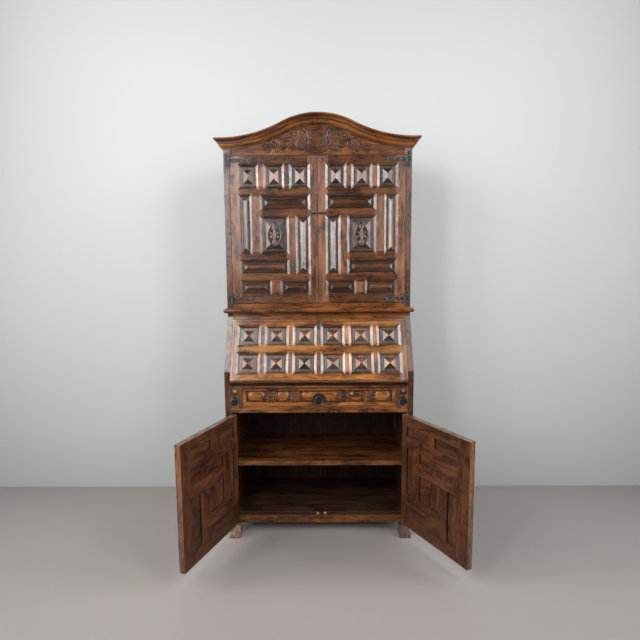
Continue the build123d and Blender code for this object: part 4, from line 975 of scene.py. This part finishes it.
def archedCornice():
    profile = mouldingProfile()
    count = len(profile)
    out, drop = profile.T
    half, front, top = cornice["halfWidth"], cornice["front"], cornice["top"]
    stations = np.linspace(-half, half, cornice["stations"])[1:-1]
    z, tilt = archLine(stations)
    # left return from the back to its mitre, the front along the arch, and the right return
    back = np.linspace(cornice["back"], front + cornice["mitreRoom"], cornice["returnRings"])
    rings = [np.column_stack([-half - out, np.full(count, y), top - drop]) for y in back]
    rings.append(np.column_stack([-half - out, front - out, top - drop]))
    rings += [np.column_stack([x + drop * sin(angle), front - out, height - drop * cos(angle)])
              for x, height, angle in zip(stations, z, tilt)]
    rings.append(np.column_stack([half + out, front - out, top - drop]))
    rings += [np.column_stack([half + out, np.full(count, y), top - drop]) for y in back[::-1]]
    middles = np.array([r[1] for r in rings])
    along = np.concatenate([[0], np.cumsum(np.linalg.norm(np.diff(middles, axis=0), axis=1))])
    around = np.concatenate([[0], np.cumsum(np.linalg.norm(np.diff(profile, axis=0), axis=1))])
    faces = [f[::-1] for f in cappedFaces(len(rings), count)]
    share = drop / cornice["height"]
    # dirt and painted shade in the step, under the nosing and on the fillet, none on the back: (share, width,
    # how dark)
    settledDirtAndShade = sum(np.exp(-((share - at) / wide) ** 2) * dark for at, wide, dark in cornice["dirtAndShadeLines"])
    fillet, filletDark = cornice["filletDirtAndShade"]
    settledDirtAndShade += (share > fillet) * filletDark
    settledDirtAndShade[out < 0.1] = 0
    piece = addPiece("archedCornice", np.vstack(rings), faces, walnutMoulding, "case",
                     {"grimeAndShade": np.tile(np.clip(settledDirtAndShade, 0, 1), len(rings))}, smooth=True)
    uv = piece.data.uv_layers.new(name="UVMap")
    ring = np.zeros(len(piece.data.loops), int)
    piece.data.loops.foreach_get("vertex_index", ring)
    uv.data.foreach_set("uv", np.column_stack([along[ring // count], around[ring % count]]).ravel() * mm)
    piece.data.set_sharp_from_angle(angle=radians(30))
    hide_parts("cornice_front", "cornice_returns")


archedCornice()
print("cornice done")


# carved board under the cornice
def ornament(side, shift):
    # one half of the carving, in mm from the middle of the board's lower edge; shift keeps the halves unlike
    def line(points, width, rise, **more):
        p = np.array(points, float) + np.array([shift, 0.0])
        return {"points": np.column_stack([side * p[:, 0], p[:, 1]]), "width": width, "rise": rise, **more}

    return [
        # strap frame round the field
        line([(0, 15), (26, 17), (46, 34), (63, 54)], 4.6, 4.6, tail=0.9),
        line([(63, 54), (57, 72), (46, 92), (50, 112), (60, 124)], 4.8, 4.8, tail=0.6),
        line([(37, 40), (44, 60), (41, 82), (30, 101)], 3.6, 3.8, tail=0.8),
        line([(0, 118), (14, 122), (27, 115), (33, 106)], 4.4, 4.2, tail=0.7),
        line([(0, 107), (16, 109), (28, 103)], 3.0, 3.4, tail=0.8),
        line([(0, 33), (18, 34), (31, 41)], 3.4, 3.2, tail=0.9),
        line([(64, 126), (58, 112), (66, 100)], 4.0, 4.0),
        # leaves
        line([(88, 26), (97, 46), (90, 68), (70, 92)], 6.2, 5.0, groove=1.8),
        line([(76, 26), (84, 44), (78, 64)], 5.2, 4.6, groove=1.5),
        line([(66, 28), (72, 40), (70, 54)], 4.2, 4.0, groove=1.2),
        line([(70, 90), (66, 106), (74, 118)], 4.4, 4.0, groove=1.2),
        line([(94, 60), (108, 66), (118, 82)], 4.6, 4.2, groove=1.4),
        line(curl(100, 104, 12, 3, 250, 1.2), 3.0, 3.8, tail=0.5),
        line([(102, 90), (116, 100), (128, 96)], 4.0, 3.4, groove=1.0),
        # vine and berries
        line([(98, 54), (116, 56), (132, 66), (150, 71)], 3.2, 3.2, tail=0.5),
        line(curl(151, 53, 18, 4, 95, 1.35, -1), 4.2, 4.4, tail=0.4),
        line([(128, 52), (120, 40), (106, 34)], 4.8, 3.8, groove=1.4),
        line([(150, 34), (168, 30), (182, 40), (190, 56)], 3.2, 3.2, tail=0.5),
        line([(164, 74), (176, 84), (190, 80)], 4.6, 3.8, groove=1.4),
        line(curl(206, 49, 18, 4, 100, 1.35, -1), 4.2, 4.4, tail=0.4),
        line([(176, 34), (184, 22), (198, 18)], 4.2, 3.4, groove=1.2),
        line([(222, 40), (236, 46), (252, 38)], 4.6, 3.6, groove=1.3),
        line([(226, 32), (240, 30), (254, 24)], 3.8, 3.0, groove=1.0),
        line([(216, 26), (230, 18), (242, 14)], 3.2, 2.6, groove=0.8),
        *(line([(x - 1.5, z), (x + 1.5, z)], 4.0, 3.6, tail=0.9)
          for x, z in ((130, 86), (138, 84), (134, 92), (222, 62)))]


pediment = {
    "low": 1850, "front": 117, "back": 139, "seam": 0.9, "halfWidth": 423, "fine": 286, "pitch": 1.35,
    "rows": 100, "sunk": 1.3, "relief": 0.75, "groundReach": 9, "footReach": 8,
    "field": (31, 28, 73), "shieldPower": 3.2, "ribPitch": 10.5, "ribSlant": 0.707}


def pedimentBoard():
    low, front = pediment["low"], pediment["front"]
    fine = np.arange(-pediment["fine"], pediment["fine"] + 0.1, pediment["pitch"])
    outside = np.linspace(pediment["fine"], pediment["halfWidth"], 10)[1:]
    across = np.concatenate([-outside[::-1], fine, outside])
    archZ = archLine(across)[0]
    seam = archZ - cornice["height"] * pediment["seam"]
    z = low + np.linspace(0, 1, pediment["rows"])[:, None] * (seam - low)[None, :]
    x = np.broadcast_to(across[None, :], z.shape)
    height, edge = carved(x, z - low, ornament(1, 0.0) + ornament(-1, 1.5))
    height *= pediment["relief"]
    # hatched field: slanting ribs inside a rounded shield of half width and height, about a level
    halfWide, halfTall, level = pediment["field"]
    power, reach = pediment["shieldPower"], pediment["groundReach"]
    shield = np.abs(x / halfWide) ** power + np.abs((z - low - level) / halfTall) ** power
    inField = np.clip((1 - shield) * 6, 0, 1)
    ribs = 1.3 + 1.1 * np.sin((z - low - x) * pediment["ribSlant"] * 2 * pi / pediment["ribPitch"])
    height = np.maximum(height, inField * np.clip(ribs, 0.2, 9))
    edge = np.where(inField > 0.05, np.minimum(edge, 0.5), edge)
    # ground sunk round the ornament and fading back to the board's face
    faded = np.clip(1 - edge / reach, 0, 1) * np.clip((z - low) / pediment["footReach"], 0, 1)
    ground = -pediment["sunk"] * faded
    height = np.where(edge > 0, ground, height)
    # dirt and painted shade: the ground is drawn dark along the ornament's edge and between the ribs of the
    # hatching
    dark = np.clip(1 - np.abs(edge - 0.8) / 3.2, 0, 1) * 0.95
    dark = np.maximum(np.where(inField > 0.5, 0, dark), inField * np.clip(1.0 - ribs * 0.55, 0, 1))
    rows, columns = z.shape
    behind = pediment["back"]
    edges = [np.column_stack([across, np.full(columns, y), line])
             for y, line in ((front, archZ), (behind, archZ), (behind, np.full(columns, low)))]
    points = np.vstack([np.column_stack([x.ravel(), (front - height).ravel(), z.ravel()]), *edges])
    left = [i * columns for i in range(rows + 3)]
    right = [i + columns - 1 for i in left]
    faces = gridFaces(rows + 3, columns, closedUp=True).tolist() + [left[::-1], right]
    grimeAndShade = np.concatenate([dark.ravel(), np.zeros(3 * columns)])
    board = addPiece("pedimentBoard", points, faces, walnutCarved, "case", {"grimeAndShade": grimeAndShade})
    carvedFaces = np.arange(len(faces)) < (rows - 1) * (columns - 1)
    board.data.polygons.foreach_set("use_smooth", carvedFaces)
    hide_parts("pediment_board")


pedimentBoard()
print("pediment carved")


# materials on the modelled solids
lowerIron = ["lower_" + side + "_door_" + part for side in ("left", "right")
             for part in ("straps", "pull_plate", "ring")]
finishOf = {
    walnutShelfShadedTop: ["lower_shelf"],
    writingEdgePaintedShadow: ["writing_board"],
    walnutAcross: ["bottom_rail", "drawer_rail", "drawer_sill", "desk_header_rail", "ledge_board",
                   "upper_bottom_board", "upper_top_board", "pediment_board"],
    walnutSide: ["base_left_side", "base_right_side", "upper_left_side", "upper_right_side",
                 "loper_partitions"],
    shadedInsideAcross: ["bottom_board", "upper_shelves", "pigeonhole_rack"],
    shadedInsideUp: ["back_boards"],
    shadedInsideDeep: ["drawer_box"],
    footWood: ["feet"],
    blackIron: ["drawer_pull_plate", "left_loper_pull_plate", "right_loper_pull_plate"],
    iron: ["post_hinge_leaves", "flap_hinge_board_leaves", "hinge_pins", "drawer_ring", "left_loper_ring",
           "right_loper_ring", "flap_hinge_leaves", "flap_key_plate", "upper_left_door_straps",
           "upper_right_door_straps", "bolt_and_key_plates", "door_bolt", "bolt_keeper", *lowerIron],
    brass: ["ball_catches"]}
for material, names in finishOf.items():
    for name in names:
        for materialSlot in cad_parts[name].material_slots:
            materialSlot.material = material
print("solids finished")


# camera
view = {"lens": 26.17, "at": (0.032, -2.168, 1.310), "yaw": -0.0112, "pitch": 0.1090, "roll": -0.0074}
camera = bpy.data.objects.new("camera", bpy.data.cameras.new("camera"))
camera.data.sensor_width = 36
camera.data.lens = view["lens"]
camera.data.clip_end = 50
bpy.context.scene.collection.objects.link(camera)
bpy.context.scene.camera = camera
yaw, pitch, roll = view["yaw"], view["pitch"], view["roll"]
forward = Vector((sin(yaw) * cos(pitch), cos(yaw) * cos(pitch), -sin(pitch)))
right = Vector((cos(yaw), -sin(yaw), 0))
up = right.cross(forward)
rightRolled = right * cos(roll) + up * sin(roll)
upRolled = up * cos(roll) - right * sin(roll)
turn = Matrix((rightRolled, upRolled, -forward)).transposed().to_4x4()
camera.matrix_world = Matrix.Translation(Vector(view["at"]) + Vector(caseOrigin)) @ turn


# room and light
def stageSheet(name, corners, color, rough, oneSided=False):
    mesh = bpy.data.meshes.new(name)
    mesh.from_pydata([tuple(np.array(c) + caseOrigin) for c in corners], [], [list(range(len(corners)))])
    material, n, shader = startMaterial(name)
    shader.inputs["Base Color"].default_value = (*color, 1)
    shader.inputs["Roughness"].default_value = rough
    shader.inputs["Specular IOR Level"].default_value = 0.2
    if oneSided:                             # the wall can be looked through from behind
        behind = n.add("ShaderNodeNewGeometry").outputs["Backfacing"]
        clear = n.add("ShaderNodeBsdfTransparent").outputs[0]
        mix = n.make("ShaderNodeMixShader", (behind, shader.outputs[0], clear))
        n.feed(material.node_tree.nodes["Material Output"].inputs["Surface"], mix[0])
    mesh.materials.append(material)
    sheet = bpy.data.objects.new(name, mesh)
    bpy.context.scene.collection.objects.link(sheet)


room = {
    "half": 8, "wallY": 0.53, "wallTop": 5.5,
    "floor": (0.365, 0.335, 0.318), "wall": (0.545, 0.573, 0.565)}
w, y, top = room["half"], room["wallY"], room["wallTop"]
stageSheet("floor", [(-w, -w, 0), (w, -w, 0), (w, w, 0), (-w, w, 0)], room["floor"], 0.6)
stageSheet("wall", [(-w, y, 0), (w, y, 0), (w, y, top), (-w, y, top)], room["wall"], 0.9, oneSided=True)


def panelLight(name, at, towards, size, power, color=(1, 1, 1), spread=180):
    lamp = bpy.data.lights.new(name, "AREA")
    lamp.shape = "RECTANGLE"
    lamp.spread = radians(spread)
    lamp.size, lamp.size_y = size
    lamp.energy = power
    lamp.color = color
    lampObject = bpy.data.objects.new(name, lamp)
    lampObject.location = Vector(at) + Vector(caseOrigin)
    lampObject.rotation_euler = (Vector(towards) - Vector(at)).to_track_quat("-Z", "Y").to_euler()
    bpy.context.scene.collection.objects.link(lampObject)


# the side panels stand well round, so that the splays shine while flat boards stay dark
bookcaseMiddle, deskMiddle = (0, 0.05, 1.4), (0, 0.1, 1.4)
panelLight("leftPanel", (-2.6, -0.62, 2.35), bookcaseMiddle, (1.2, 2.6), 19, (1.0, 0.98, 0.97), spread=80)
panelLight("rightPanel", (2.6, -0.62, 2.35), bookcaseMiddle, (1.2, 2.6), 17, (0.97, 0.98, 1.0), spread=80)
panelLight("frontLeft", (-1.25, -2.3, 2.35), deskMiddle, (0.5, 2.3), 33)
panelLight("middleLeft", (-2.0, -1.75, 2.4), deskMiddle, (0.6, 2.3), 28)
panelLight("frontRight", (1.75, -1.95, 2.35), deskMiddle, (0.85, 2.3), 41)

world = bpy.data.worlds.new("studio")
bpy.context.scene.world = world
world.use_nodes = True
background = world.node_tree.nodes["Background"]
background.inputs["Color"].default_value = (0.98, 0.99, 1.0, 1)
# the sky is dim in front, where the polish would show it, and lighter behind
sky = Nodes(world.node_tree)
northward = sky.axis(sky.add("ShaderNodeTexCoord").outputs["Generated"], 1)
sky.feed(background.inputs["Strength"], sky.range(northward, -0.2, 0.6, 0.14, 0.5))
bpy.context.scene.view_settings.view_transform = "Standard"
print("room and light done")
